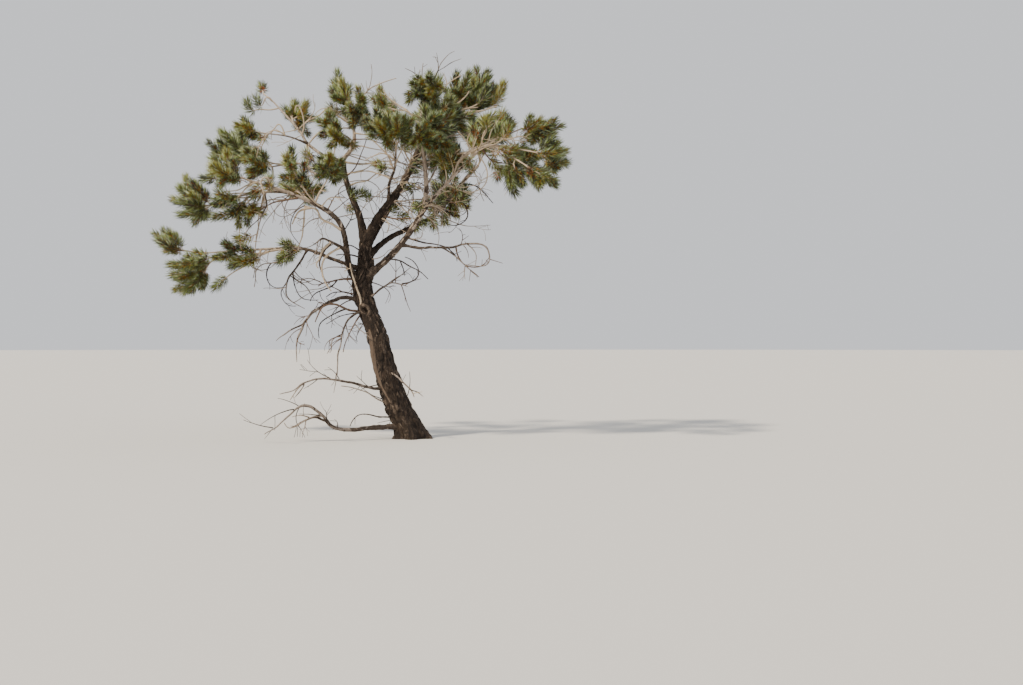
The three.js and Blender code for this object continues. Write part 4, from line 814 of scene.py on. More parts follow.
class Taken:
    """Straight stretches with a radius and their owner, which nothing else may touch."""

    def __init__(self):
        self.owners = []
        self.starts = []
        self.ends = []
        self.radii = []

    def add(self, owner, start, end, radius):
        self.owners.append(owner)
        self.starts.append(start)
        self.ends.append(end)
        self.radii.append(radius)

    def add_course(self, owner, course, girth_at):
        steps = math.ceil(course.length / TAKEN_STEP)
        places = course.at(np.arange(steps + 1) / steps)[0]
        for i in range(steps):
            self.add(owner, places[i], places[i + 1], float(girth_at(i / steps)))

    def add_shoot(self, owner, shoot, reach=SPRAY_REACH):
        for stretch in stretches_of(shoot, reach):
            self.add(owner, *stretch)

    def away(self, start, end):
        """Least distance from one straight stretch to each of those taken."""
        starts = np.array(self.starts)
        first = end - start
        second = np.array(self.ends) - starts
        off = start - starts
        aa = first @ first
        bb = np.einsum("ij,ij->i", second, second)
        ab = second @ first
        ao = off @ first
        bo = np.einsum("ij,ij->i", off, second)
        spread = aa * bb - ab * ab
        safe = np.where(spread > 1e-9, spread, 1)
        s = np.where(spread > 1e-9, np.clip((ab * bo - ao * bb) / safe, 0, 1), 0)
        t = np.clip((ab * s + bo) / bb, 0, 1)
        s = np.clip((ab * t - ao) / aa, 0, 1)
        return np.linalg.norm(off + first * s[:, None] - second * t[:, None], axis=1)

    def touches(self, owner, shoot, reach=SPRAY_REACH, sisters=SISTERS):
        """Whether a shoot would touch another piece, or its needles those of a sister spray."""
        radii = np.array(self.radii)
        own = np.array(self.owners) == owner
        stretches = stretches_of(shoot, reach)
        for start, end, radius in stretches:
            if np.any(~own & (self.away(start, end) < radius + radii + CLEAR)):
                return True
        start, end, radius = stretches[-1]
        spray = own & (radii >= SIDE_REACH)
        return bool(np.any(spray & (self.away(start, end) < (radius + radii) * sisters)))


taken = Taken()


def place_in(middle, half, random):
    """A place in the ball that fills a mass's space, less the length of the needles."""
    draws = in_cube(random)
    room = np.maximum(np.array(half) - NEEDLE_ROOM * ROOM_KEPT, ROOM_LEAST)
    return np.array(middle) + draws / max(np.linalg.norm(draws), 1) * room


def stem_of(limb, at, middle, half, seed):
    """A mass's stem: from its limb past the middle of its space, towards the far side."""
    point, along = limb["course"].at(at)
    start = point - along * SUNK if at == 1 else point
    out, most = TIP_STEM if at == 1 else SIDE_STEM
    heading = np.array(middle) - start
    away = np.linalg.norm(heading)
    heading = heading / away
    bend = start + along * away * out + heading * away * STEM_BEND
    end = place_in(middle, half, seeded(seed + STEM_SEEDS))
    back = (end - np.array(middle)) @ heading
    end = end + heading * (abs(back) - back - SPRAY_LENGTH[0] * STEM_SHORT)
    return Course([start, bend, end]), min(float(limb["girth_at"](at)), most)


def shoot_to(stem, tip, length):
    """A shoot leaves its stem slanting forward and turns into its spray's line."""
    share = stem.nearest(tip)
    side = np.linalg.norm(stem.at(share)[0] - tip)
    leaves = np.clip(share - (SLANT * side) / stem.length, *SHOOT_LEAVES)
    root, along = stem.at(leaves)
    heading = unit(unit(tip - root) + along * FORWARD + UP * RISE)
    base = tip - heading * min(length, np.linalg.norm(tip - root) * SPRAY_MOST)
    run = np.linalg.norm(root - base)
    knee = mix(root, base, 0.5) + along * run * KNEE_ALONG - heading * run * KNEE_BACK
    return dict(root=root, knee=knee, base=base, tip=tip, heading=heading)


def stem_spray(stem):
    """The stem's own end is a spray too."""
    base, along = stem.at(1)
    root = stem.at(SHOOT_LEAVES[1])[0]
    heading = unit(along + UP * RISE * 0.5)
    tip = base + heading * SPRAY_LENGTH[0]
    return dict(root=root, knee=mix(root, base, 0.6), base=base, tip=tip, heading=heading)


def stretches_of(shoot, reach):
    """The straight stretches of a shoot: its bare part, then its spray with the needles' reach."""
    return [
        (shoot["root"], shoot["knee"], TWIG),
        (shoot["knee"], shoot["base"], TWIG),
        (shoot["base"] + shoot["heading"] * SPRAY_START, shoot["tip"], reach),
    ]


def farthest(tries, tips, fits):
    """Of the shoots tried, the one that fits and ends farthest from the tips so far."""
    best = None
    most = -1
    for shoot in tries:
        apart = min(np.linalg.norm(tip - shoot["tip"]) for tip in tips)
        if apart > most and fits(shoot):
            best = shoot
            most = apart
    return best


def shoots_of(name, stem, middle, half, count, seed):
    """A mass's shoots: for each, places in its space are tried, those that would touch another
    piece are passed over, and the one farthest from the shoots so far is taken."""
    random = seeded(seed)
    tips = [stem.at(1)[0]]
    shoots = []
    for _ in range(count):
        tries = (shoot_to(stem, place_in(middle, half, random), mix(*SPRAY_LENGTH, random()))
                 for _ in range(CHOICES))
        best = farthest(tries, tips, lambda shoot: not taken.touches(name, shoot))
        if best:
            shoots.append(best)
            tips.append(best["tip"])
            taken.add_shoot(name, best)
    return shoots


def side_shoot(bare, leaves, random):
    """A twig that leaves a bare stretch, turns out and up, and ends in a short spray."""
    root, along = bare.at(mix(*leaves, random()))
    out = square_to(along, in_cube(random))
    heading = unit(along + out * mix(*SIDE_OUT, random()) + UP * RISE)
    length = mix(*SIDE_LENGTH, random())
    tip = root + heading * length
    axis = min(mix(*SIDE_AXIS, random()), length * SIDE_AXIS_MOST)
    base = tip - heading * axis
    knee = mix(root, base, 0.5) + along * (length - axis) * SIDE_KNEE
    return dict(root=root, knee=knee, base=base, tip=tip, heading=heading)


def side_shoots_of(name, stem, shoots, middle, half, seed):
    """Finer twigs of a mass, on its shoots and on the outer part of its stem: for each, some are
    tried, and the one farthest from the others stays."""

    def fits(twig):
        inside = np.linalg.norm((twig["tip"] - middle) / np.array(half)) <= 1
        return inside and not taken.touches(name, twig, SIDE_REACH, SIDE_SISTERS)

    random = seeded(seed + SIDE_SEEDS)
    each = FULL_SIDE_SHOOTS if name in FULL_MASSES else SIDE_SHOOTS
    bares = [Course([shoot["root"], shoot["knee"], shoot["base"]]) for shoot in shoots]
    carriers = [(bare, SIDE_LEAVES, each) for bare in bares] + [(stem, STEM_LEAVES, each + 2)]
    tips = [shoot["tip"] for shoot in shoots]
    found = []
    for bare, leaves, count in carriers:
        for _ in range(count):
            tries = (side_shoot(bare, leaves, random) for _ in range(SIDE_CHOICES))
            best = farthest(tries, tips, fits)
            if best:
                found.append(best)
                tips.append(best["tip"])
                taken.add_shoot(name, best, SIDE_REACH)
    return found


# Noise for the bark's relief

def hashed(cells, seed):
    """One even random number from 0 to 1 for each whole-number place."""
    x, y, z = (cells[:, i].astype(np.int64) for i in range(3))
    mixed = ((x * 73856093) ^ (y * 19349663) ^ (z * 83492791) ^ (seed * 2654435761)) & MASK
    for _ in range(2):
        mixed = ((mixed ^ (mixed >> 16)) * 0x45D9F3B) & MASK
    return (mixed ^ (mixed >> 16)) / (MASK + 1)


def noise(places, seed):
    """Smooth noise from -1 to 1 at places that are a cell apart."""
    cells = np.floor(places)
    part = places - cells
    part = part * part * (3 - 2 * part)
    total = np.zeros(len(places))
    for shift in np.ndindex(2, 2, 2):
        shift = np.array(shift)
        weight = np.prod(np.where(shift, part, 1 - part), axis=1)
        total += weight * hashed(cells + shift, seed)
    return total * 2 - 1


def plates(places, seed, shape):
    """A pattern of scattered plates: how far each place is out of the cracks, from 0 to 1, and one
    random number from 0 to 1 for its whole plate."""
    cells = np.floor(places)
    first = np.full(len(places), 9.0)
    second = np.full(len(places), 9.0)
    own = np.zeros(len(places))
    for shift in np.ndindex(3, 3, 3):
        corner = cells + np.array(shift) - 1
        spot = corner + np.stack([hashed(corner, seed + k) for k in range(3)], axis=1)
        away = np.linalg.norm(spot - places, axis=1)
        second = np.where(away < first, first, np.minimum(second, away))
        own = np.where(away < first, hashed(corner, seed + 3), own)
        first = np.minimum(first, away)
    crack = np.clip((second - first) * CRACK_SLOPE, 0, 1) ** CRACK_ROUND
    return crack.reshape(shape), own.reshape(shape)


def grain(places, shape, seed, *layers):
    """Layers of noise, added up for each point of a skin, from the weight and the size of each."""
    return sum(weight * noise(places / size, seed + k).reshape(shape)
               for k, (weight, size) in enumerate(layers))


# Skins: each is a patch of points, triangles and a material number for each triangle

def turns(sides):
    """Angles all the way round, one for each side."""
    return np.arange(sides) / sides * 2 * math.pi


def smoothed(line):
    """A line with its corners eased, and its ends kept."""
    eased = line.copy()
    for _ in range(4):
        eased[1:-1] = 0.25 * eased[:-2] + 0.5 * eased[1:-1] + 0.25 * eased[2:]
    return eased


def rings_on(course, step, least=6):
    """Even shares of a course's length, about a step apart, and the smoothed places there."""
    shares = np.linspace(0, 1, max(round(course.length / step), least) + 1)
    return shares, smoothed(course.at(shares)[0])


def ring_frames(alongs):
    """Two directions square to each ring's own, turned no more than they must be."""
    side = np.array([1.0, 0.0, 0.0]) if abs(alongs[0][2]) > 0.8 else UP
    sides = []
    for along in alongs:
        side = square_to(along, side)
        sides.append(side)
    sides = np.array(sides)
    return sides, np.cross(alongs, sides)


def tube_triangles(rings, sides):
    """Walls between rings, a fan at the root and a fan at the tip."""
    ring = np.arange(rings - 1)[:, None] * sides
    k = np.arange(sides)[None, :]
    a = ring + k
    b = ring + (k + 1) % sides
    walls = np.concatenate([
        np.stack([a, b, b + sides], axis=-1).reshape(-1, 3),
        np.stack([a, b + sides, a + sides], axis=-1).reshape(-1, 3),
    ])
    k = np.arange(sides)
    last = (rings - 1) * sides
    root = np.stack([(k + 1) % sides, k, np.full(sides, rings * sides)], axis=-1)
    tip = np.stack([last + k, last + (k + 1) % sides, np.full(sides, rings * sides + 1)], axis=-1)
    return np.concatenate([walls, root, tip])


def tube(centres, radii, sides, tone=0, point=0.0):
    """A closed tube along a line of centres. The radii are one for each ring or for each point,
    and the tip stands out by a length."""
    alongs = np.gradient(centres, axis=0)
    alongs /= np.linalg.norm(alongs, axis=1)[:, None]
    side, across = ring_frames(alongs)
    angles = turns(sides)
    radii = np.asarray(radii, float)
    if radii.ndim == 1:
        radii = np.repeat(radii[:, None], sides, axis=1)
    walls = (
        centres[:, None]
        + side[:, None] * (np.cos(angles) * radii)[..., None]
        + across[:, None] * (np.sin(angles) * radii)[..., None]
    ).reshape(-1, 3)
    ends = [centres[0], centres[-1] + alongs[-1] * point]
    triangles = tube_triangles(len(centres), sides)
    return np.concatenate([walls, ends]), triangles, np.full(len(triangles), tone)


def face_shares(values):
    """The mean of a value at each wall triangle's corners, then the end fans' values."""
    flat = np.concatenate([values.ravel(), [values[0].mean(), values[-1].mean()]])
    return flat[tube_triangles(*values.shape)].mean(axis=1)


def wall_places(angles, girth, run):
    """The points of a straight limb's wall, from one girth and one run for each ring."""
    parts = np.broadcast_arrays(np.cos(angles) * girth, np.sin(angles) * girth, run)
    return np.stack(parts, axis=-1).reshape(-1, 3)


# Bark

def turned(angles, middle):
    """How far angles are turned from a middle one, to the one side or the other."""
    return (angles - middle + math.pi) % (2 * math.pi) - math.pi


def trunk_skin():
    """The trunk with its lean, taper and root lobes, plates of bark, a knot and a bare strip."""
    shares = np.linspace(0, 1, round(TRUNK_SECTIONS[-1][0] / BARK_STEP) + 1)
    centres = trunk_course.at(shares)[0]
    heights = centres[:, 2][:, None]
    angles = turns(TRUNK_SIDES)[None, :]
    girth = trunk_girth(shares)[:, None]
    radii = girth * (1 + FLARE * np.exp(-heights / FLARE_HEIGHT) * np.cos(angles * LOBES + 1))
    shape = radii.shape
    places = wall_places(angles, girth, heights / PLATE_STRETCH)
    warp = np.stack([noise(places / WARP_SIZE, seed) for seed in (5, 6, 7)], axis=1) * WARP
    crack, own = plates((places + warp) / PLATE, 8, shape)
    rough = grain(places, shape, 9, (1, 6), (0.6, 3))
    relief = TRUNK_RELIEF * (crack - 0.8) + 1.2 * rough + 3 * (own - 0.5) * crack
    across = turned(angles, math.radians(KNOT["angle"])) * girth
    from_knot = np.hypot(across, heights - KNOT["height"])
    relief = relief - KNOT["hollow"] * np.exp(-((from_knot / (KNOT["ring"] * 0.7)) ** 4))
    high, turn, half = (np.array(row, float) for row in zip(*STRIP[::-1]))
    across = turned(angles, np.radians(np.interp(heights, high, turn))) * girth
    wide = np.interp(heights, high, half, left=1, right=1) * STRIP_HOLLOW
    relief = relief * (1 - np.exp(-((across / wide) ** 4)))
    radii = radii * (1 + grain(places, shape, 3, (0.07, 70), (0.04, 28))) + relief
    walls = wall_places(angles, radii, heights) + np.repeat(centres * (1, 1, 0), TRUNK_SIDES, axis=0)
    points = np.concatenate([walls, [centres[0], centres[-1] + UP * TRUNK_TOP]])
    shade = face_shares(grain(places, shape, 12, (0.5, 13), (0.4, 4)) + 0.3 * (crack - 0.8))
    return points, tube_triangles(*shape), np.where(shade > 0.2, 1, 0)


def on_trunk(heights, angles, rise):
    """Places at heights and angles, a little above the trunk's own round."""
    shares = np.interp(heights, trunk_course.line[:, 2], trunk_course.run / trunk_course.length)
    out = np.stack([np.cos(angles), np.sin(angles), np.zeros(len(angles))], axis=1)
    return trunk_course.at(shares)[0] + out * (trunk_girth(shares) + rise)[:, None]


def strip_skin():
    """The smooth bare ridge of wood that runs down the front of the trunk."""
    heights, angles, halves = (np.array(row, float) for row in zip(*STRIP))
    course = Course(on_trunk(heights, np.radians(angles), STRIP_RISE - halves))
    along = np.linspace(0, 1, STRIP_RINGS)
    girth = np.interp(along, np.linspace(0, 1, len(halves)), halves)
    girth = girth * np.sin(np.pi * np.clip(along, 0.03, 0.97)) ** 0.3
    girth = girth * (1 + 0.1 * noise(np.stack([along * 11, along * 0, along * 0], axis=1), 14))
    return tube(course.at(along)[0], girth, STRIP_SIDES, BARK_TONES.index("bark_bare"))


def knot_skin():
    """The round scar of a lost bough: a ring of wood that has grown half over it."""
    angles = np.linspace(0, 2 * math.pi, KNOT["rings"])
    heights = KNOT["height"] + KNOT["ring"] * np.sin(angles)
    sideways = KNOT["ring"] * np.cos(angles) / float(trunk_width(KNOT["height"]))
    centres = on_trunk(heights, math.radians(KNOT["angle"]) + sideways, KNOT["rise"])
    uneven = noise(np.stack([np.cos(angles), np.sin(angles), angles * 0], axis=1) * 1.7, 15)
    radii = KNOT["wall"] * (0.85 + 0.15 * np.sin(angles + 0.5) + 0.25 * uneven)
    return tube(centres, radii, KNOT["sides"], BARK_TONES.index("bark_grey"))


def limb_skin(limb, ends_pale, seed):
    """A limb with its own taper and collar, bark that is rough and dark where the limb is thick
    and smooth and pale where it is thin; the pale is partly painted sunlight on the upper boughs."""
    shares, centres = rings_on(limb["course"], BARK_STEP, 8)
    girth = limb["girth_at"](shares)
    sides = int(np.clip(round(2 * math.pi * girth[len(girth) // 4] / BARK_FACE), *LIMB_SIDES))
    width = np.clip(girth[0] * LIMB_PLATE, *LIMB_PLATES)
    point = girth[-1] * 0.4
    girth = girth[:, None]
    shares = shares[:, None]
    places = wall_places(turns(sides), girth, shares * limb["course"].length / LIMB_STRETCH)
    shape = (len(shares), sides)
    crack, own = plates(places / width, seed + 1, shape)
    # paleness along the limb: partly smooth thin bark, partly painted sunlight on the upper boughs
    pale = mix(*ends_pale, shares) + grain(places, shape, seed, (0.15, 11))
    pale = np.clip(pale + 0.4 * (own - 0.5), 0, 1)
    depth = mix(*LIMB_RELIEF, pale) * girth**0.85
    rough = grain(places, shape, seed + 2, (1, 3.5))
    swell = 1 + grain(places, shape, seed + 3, (0.09, 24))
    radii = girth * swell + depth * (crack - 0.75) + 0.09 * depth * rough + 0.25 * rough
    points, triangles, _ = tube(centres, radii, sides, point=point)
    return points, triangles, np.digitize(face_shares(pale - 0.25 * (crack < 0.3)), PALE_FROM)


def dead_skin(course, girth_at, seed):
    """Dead wood: thin, knobbly and drawn out to a blunt point."""
    shares, centres = rings_on(course, DEAD_STEP)
    run = shares * course.length
    waves = [noise(np.stack([run / DEAD_WAVE, shares * 0, shares * 0 + k], axis=1), seed + k)
             for k in range(3)]
    centres = centres + np.stack(waves, axis=1) * DEAD_STRAY * np.minimum(shares * 6, 1)[:, None]
    girth = girth_at(shares) * mix(1, DEAD_POINT, np.clip((shares - 0.7) / 0.3, 0, 1))
    girth = girth[:, None]
    places = wall_places(turns(DEAD_SIDES), girth, run[:, None] / DEAD_STRETCH)
    shape = (len(shares), DEAD_SIDES)
    radii = girth * (1 + grain(places, shape, seed + 5, (0.22, 7), (0.12, 3)))
    points, triangles, _ = tube(centres, radii, DEAD_SIDES, point=4)
    streaks = grain(places, shape, seed + 7, (0.5, 6), (0.3, 2.5))
    # darker towards the root, silver towards the end: partly the wood's own weathering, partly painted
    # shade near the trunk
    shade = face_shares(mix(-0.4, 0.4, shares)[:, None] + streaks)
    return points, triangles, np.where(shade > 0, 1, 0)


# Bare twigs

def bare_twig(start, heading, length, root, curls, tone, random, tufted=False):
    """A bare twig that turns steadily to one side, sags and is never quite straight, with side
    twiglets of the same kind. It stops at the limits of the solids' reach. Some end in a tuft."""
    turn = unit(random.normal(size=3))
    curl = random.uniform(*curls)
    places = [start]
    for _ in range(max(int(length / TWIG_STEP), 3)):
        turn = unit(turn + random.normal(size=3) * TWIG_WAVER)
        heading = heading + TWIG_STEP * (curl * np.cross(turn, heading) - TWIG_SAG * UP)
        heading = unit(heading + random.normal(size=3) * TWIG_KINK)
        place = places[-1] + heading * TWIG_STEP
        if np.any(place < reach_low) or np.any(place > reach_high):
            break
        places.append(place)
    if len(places) < 4:
        return [], []
    places = np.array(places)
    shares = np.linspace(0, 1, len(places))
    radii = mix(root, TWIG_END, shares)
    skins = [tube(places, radii, TWIG_SIDES, twig_number("twig_" + tone), point=3)]
    tufts = [Course(places[-TUFT - 1:])] if tufted and len(places) > 2 * TUFT else []
    if length < TWIGLET_LEAST:
        return skins, tufts
    for _ in range(random.integers(TWIGLETS + 1)):
        i = int(random.uniform(*TWIGLET_LEAVES) * (len(places) - 1))
        along = unit(places[i + 1] - places[i])
        side = unit(along + square_to(along, random.normal(size=3)) * TWIGLET_OUT)
        thick = mix(root, TWIG_END, shares[i]) * TWIGLET_GIRTH
        run = length * random.uniform(*TWIGLET_SHARE)
        more, more_tufts = bare_twig(places[i], side, run, thick, curls, tone, random, tufted)
        skins += more
        tufts += more_tufts
    return skins, tufts


def bare_twigs_on(entry, seed):
    """The bare twigs of one stretch of a limb, and the courses of their tufts."""
    on, stretch, count, lengths, towards, curls, tone, tufted = entry
    random = np.random.default_rng(seed)
    limb = limbs[on]
    skins = []
    tufts = []
    for _ in range(count):
        share = random.uniform(*stretch)
        start, along = limb["course"].at(share)
        out = square_to(along, random.normal(size=3) * TWIG_STRAY + np.array(towards, float))
        length = random.uniform(*lengths)
        root = mix(TWIG_THIN, TWIG_ROOT, min(length / TWIG_LONG, 1))
        start = start + out * float(limb["girth_at"](share)) * TWIG_INSIDE
        heading = unit(out + along * random.uniform(*TWIG_FORWARD))
        ends = random.uniform() < tufted
        more, more_tufts = bare_twig(start, heading, length, root, curls, tone, random, ends)
        skins += more
        tufts += more_tufts
    return skins, tufts


def from_front(places):
    """Places as the camera sees them, moved into the plane of the foot: across and up."""
    scale = EYE[1] / (EYE[1] - places[:, 1])
    return EYE[[0, 2]] + (places[:, [0, 2]] - EYE[[0, 2]]) * scale[:, None]


def curl_course(parent, back, pixels):
    """The course of a curl: it looks the same from the front as its places in the foot's plane
    do, and drifts from its parent's depth to its own."""
    flat = (np.array(pixels) - FOOT_PIXEL) * (PIXEL, -PIXEL)
    line = parent["course"].at(SHARES_TRIED)[0]
    seen = from_front(line)
    nearest = np.argmin(np.linalg.norm(seen - flat[0], axis=1))
    girth = float(parent["girth_at"](SHARES_TRIED[nearest]))
    aside = flat[0] - seen[nearest]
    aside = aside * min(1, girth * CURL_ASIDE / max(np.linalg.norm(aside), 1))
    flat[0] = seen[nearest] + aside
    run = run_along(flat)
    inside = CURL_DEEP * math.sqrt(max(girth**2 - aside @ aside, 0))
    depths = line[nearest, 1] + math.copysign(inside, back)
    depths = depths + back * (1 - (1 - run / run[-1]) ** 2)
    scale = (EYE[1] - depths) / EYE[1]
    across, up = (EYE[[0, 2]] + (flat - EYE[[0, 2]]) * scale[:, None]).T
    return Course(np.clip(np.stack([across, depths, up], axis=1), reach_low, reach_high))


def curl_skins(curl, tone, random):
    """A curl's own bark and its few short twiglets."""
    course = curl["course"]
    shares = rings_on(course, CURL_STEP)[0]
    stray = random.normal(size=(len(shares), 3)) * CURL_WAVER
    stray[[0, -1]] = 0
    radii = curl["girth_at"](shares) * (1 + CURL_KNOBS * random.normal(size=len(shares)))
    centres = smoothed(course.at(shares)[0] + stray)
    skins = [tube(centres, radii, CURL_SIDES, twig_number("twig_" + tone), point=2)]
    for _ in range(random.integers(CURL_TWIGLETS + 1)):
        share = random.uniform(*CURL_TWIGLET_LEAVES)
        start, along = course.at(share)
        out = square_to(along, random.normal(size=3))
        heading = unit(along * CURL_TWIGLET_FORWARD + out)
        length = random.uniform(*CURL_TWIGLET)
        root = curl["girth_at"](share) * CURL_TWIGLET_GIRTH
        skins += bare_twig(start, heading, length, root, CURL_TWIGLET_CURLS, tone, random)[0]
    return skins


def all_curls(random):
    """The bark of every curl in the table, and the courses of their tufts."""
    skins = []
    tufts = []
    for row in CURLS.split("\n")[1:-1]:
        words = row.split()
        if len(words) == 1:
            limb = limbs[words[0]]
            continue
        leaves_curl = words[0] == "-"
        tone, girth, back, tuft, *places = words[1:] if leaves_curl else words
        pixels = [[int(value) for value in place.split(",")] for place in places]
        course = curl_course(main if leaves_curl else limb, float(back), pixels)
        curl = dict(course=course, girth_at=taper(float(girth), float(girth) * CURL_TAPER))
        if not leaves_curl:
            main = curl
        skins += curl_skins(curl, tone, random)
        if tuft != "0":
            begins = 1 - min(float(tuft) / course.length, CURL_TUFT_MOST)
            tufts.append(Course(course.at(np.linspace(begins, 1, 6))[0]))
    return skins, tufts


# Needles

# A needle is a spindle: its root, three corners round its bend, and its tip
NEEDLE_POINTS = 5
NEEDLE_FACES = np.array([(2, 1, 0), (3, 2, 0), (1, 3, 0), (1, 2, 4), (2, 3, 4), (3, 1, 4)])
FACES_BELOW_BEND = 3


def dealt(choices, random, count=None):
    """Numbers of the needle colours, drawn by their shares."""
    names = list(NEEDLE_COLOURS)
    shares = np.array([share for _, share in choices])
    picked = random.choice(len(choices), size=count, p=shares / shares.sum())
    return np.array([names.index(name) for name, _ in choices])[picked]


def needles_on(course, begins, size, random):
    """A spray's needles, in pairs all round the end of its twig, leaning more and more forward.
    Their lower parts have the colour of the spray's heart, and the rest that of its green."""
    pairs = int(course.length * (1 - begins) / SHEATH_STEP)
    up_axis = np.repeat((np.arange(pairs) + 0.5) / pairs, 2)
    count = len(up_axis)
    roots, alongs = course.at(mix(begins, 1, up_axis))
    across = np.cross(alongs, UP + np.array([0.31, 0.17, 0]))
    across /= np.linalg.norm(across, axis=1)[:, None]
    third = np.cross(alongs, across)
    turn = np.repeat(np.arange(pairs) * GOLDEN_TURN, 2) + random.normal(0, TURN_STRAY, count)
    side_of_pair = np.tile([-0.5, 0.5], pairs) * PAIR_SPREAD
    turn = np.radians(turn + side_of_pair * random.uniform(0.4, 1.6, count))[:, None]
    out = across * np.cos(turn) + third * np.sin(turn)
    lean = mix(LEAN_ROOT, LEAN_TIP, up_axis**1.6) + random.normal(0, LEAN_STRAY, count)
    lean = np.radians(np.clip(lean + side_of_pair, *LEAN_LIMITS))[:, None]
    heading = alongs * np.cos(lean) + out * np.sin(lean)
    length = NEEDLE * size * random.uniform(*NEEDLE_LENGTHS, count)
    length = (length * np.interp(up_axis, LENGTH_PLACES, LENGTH_SHARES))[:, None]
    bent = alongs * length * INCURVE + UP * length * UPCURVE
    starts = roots + out * NEEDLE_OUT
    bends = starts + heading * length * NEEDLE_BEND - bent * 0.12
    flat = np.cross(heading, out)
    flat /= np.linalg.norm(flat, axis=1)[:, None]
    deep = np.cross(heading, flat)
    points = np.empty((count, NEEDLE_POINTS, 3))
    points[:, 0] = starts
    points[:, -1] = starts + heading * length + bent
    for k in range(3):
        angle = k * 2 * math.pi / 3
        points[:, 1 + k] = bends + (flat * math.cos(angle) + deep * math.sin(angle)) * NEEDLE_THICK
    triangles = (np.arange(count)[:, None, None] * NEEDLE_POINTS + NEEDLE_FACES).reshape(-1, 3)
    green = np.full(count, dealt(GREENS, random))
    strays = random.uniform(size=count) < STRAY_SHARE
    green = np.where(strays, dealt(STRAYS, random, count), green)
    heart = np.where(random.uniform(size=count) < GREEN_HEARTS, green, dealt(HEARTS, random))
    tones = np.repeat(green[:, None], len(NEEDLE_FACES), axis=1)
    tones[:, :FACES_BELOW_BEND] = heart[:, None]
    return points.reshape(-1, 3), triangles, tones.ravel()


# Shoots

def twig_number(name):
    """The number of a twig colour's material."""
    return list(TWIG_COLOURS).index(name)


def shoot_line(shoot):
    """A shoot's whole course, and the share of it where its needles begin."""
    course = Course([shoot["root"], shoot["knee"], shoot["base"], shoot["tip"]])
    return course, course.nearest(shoot["base"]) * NEEDLED_BACK


def shoot_skins(course, begins, root, random):
    """A shoot's bark: pale below its needles, brown under them, with the thick orange sheaths of
    the year's growth near its tip, and a bud."""
    shares, centres = rings_on(course, SHOOT_STEP)
    count = len(shares) - 1
    radii = mix(root, SHOOT_END, shares) * (1 + SHOOT_KNOBS * random.normal(size=len(shares)))
    cut = int(np.clip(round(begins * count), 2, count - 2))
    skins = [tube(centres[: cut + 1], radii[: cut + 1], SHOOT_SIDES, twig_number("twig_pale")),
             tube(centres[cut:], radii[cut:], SHOOT_SIDES, twig_number("twig_brown"))]
    if random.uniform() < YEARLY:
        ends = YEAR_RINGS * random.uniform(*YEAR_LENGTH)
        ends = 1 - (ends[::-1] + random.uniform(*YEAR_PLACE)) / course.length
        girths = YEAR_GIRTHS * random.uniform(0.6, 1.1)
        skins.append(tube(course.at(ends)[0], girths, 6, twig_number("twig_orange")))
    tip, along = course.at(1)
    bud = tip + along * (BUD_RINGS * BUD)[:, None]
    skins.append(tube(bud, BUD_GIRTHS, SHOOT_SIDES, twig_number("bud"), point=1))
    return skins


def stem_skin(course, thick, random):
    """A mass's stem, from its bough to its own spray."""
    shares, centres = rings_on(course, SHOOT_STEP)
    radii = mix(thick, TWIG, shares**0.4) * (1 + STEM_KNOBS * random.normal(size=len(shares)))
    return tube(centres, radii, STEM_SIDES, twig_number("twig_pale"))


# Materials

def linear(code):
    """A hex colour as linear red, green and blue, with 1 for its alpha."""
    parts = [int(code[i:i + 2], 16) / 255 for i in (1, 3, 5)]
    return (*(p / 12.92 if p <= 0.04045 else ((p + 0.055) / 1.055) ** 2.4 for p in parts), 1)


def material_of(name):
    """A new material, its node tree and its shader."""
    material = bpy.data.materials.new(name)
    material.use_nodes = True
    return material, material.node_tree, material.node_tree.nodes["Principled BSDF"]


def plain(name, colour, roughness, shine):
    """A plain colour, for small pieces whose colours have a place."""
    material, _, shader = material_of(name)
    shader.inputs["Base Color"].default_value = linear(colour)
    shader.inputs["Roughness"].default_value = roughness
    shader.inputs["Specular IOR Level"].default_value = shine
    return material


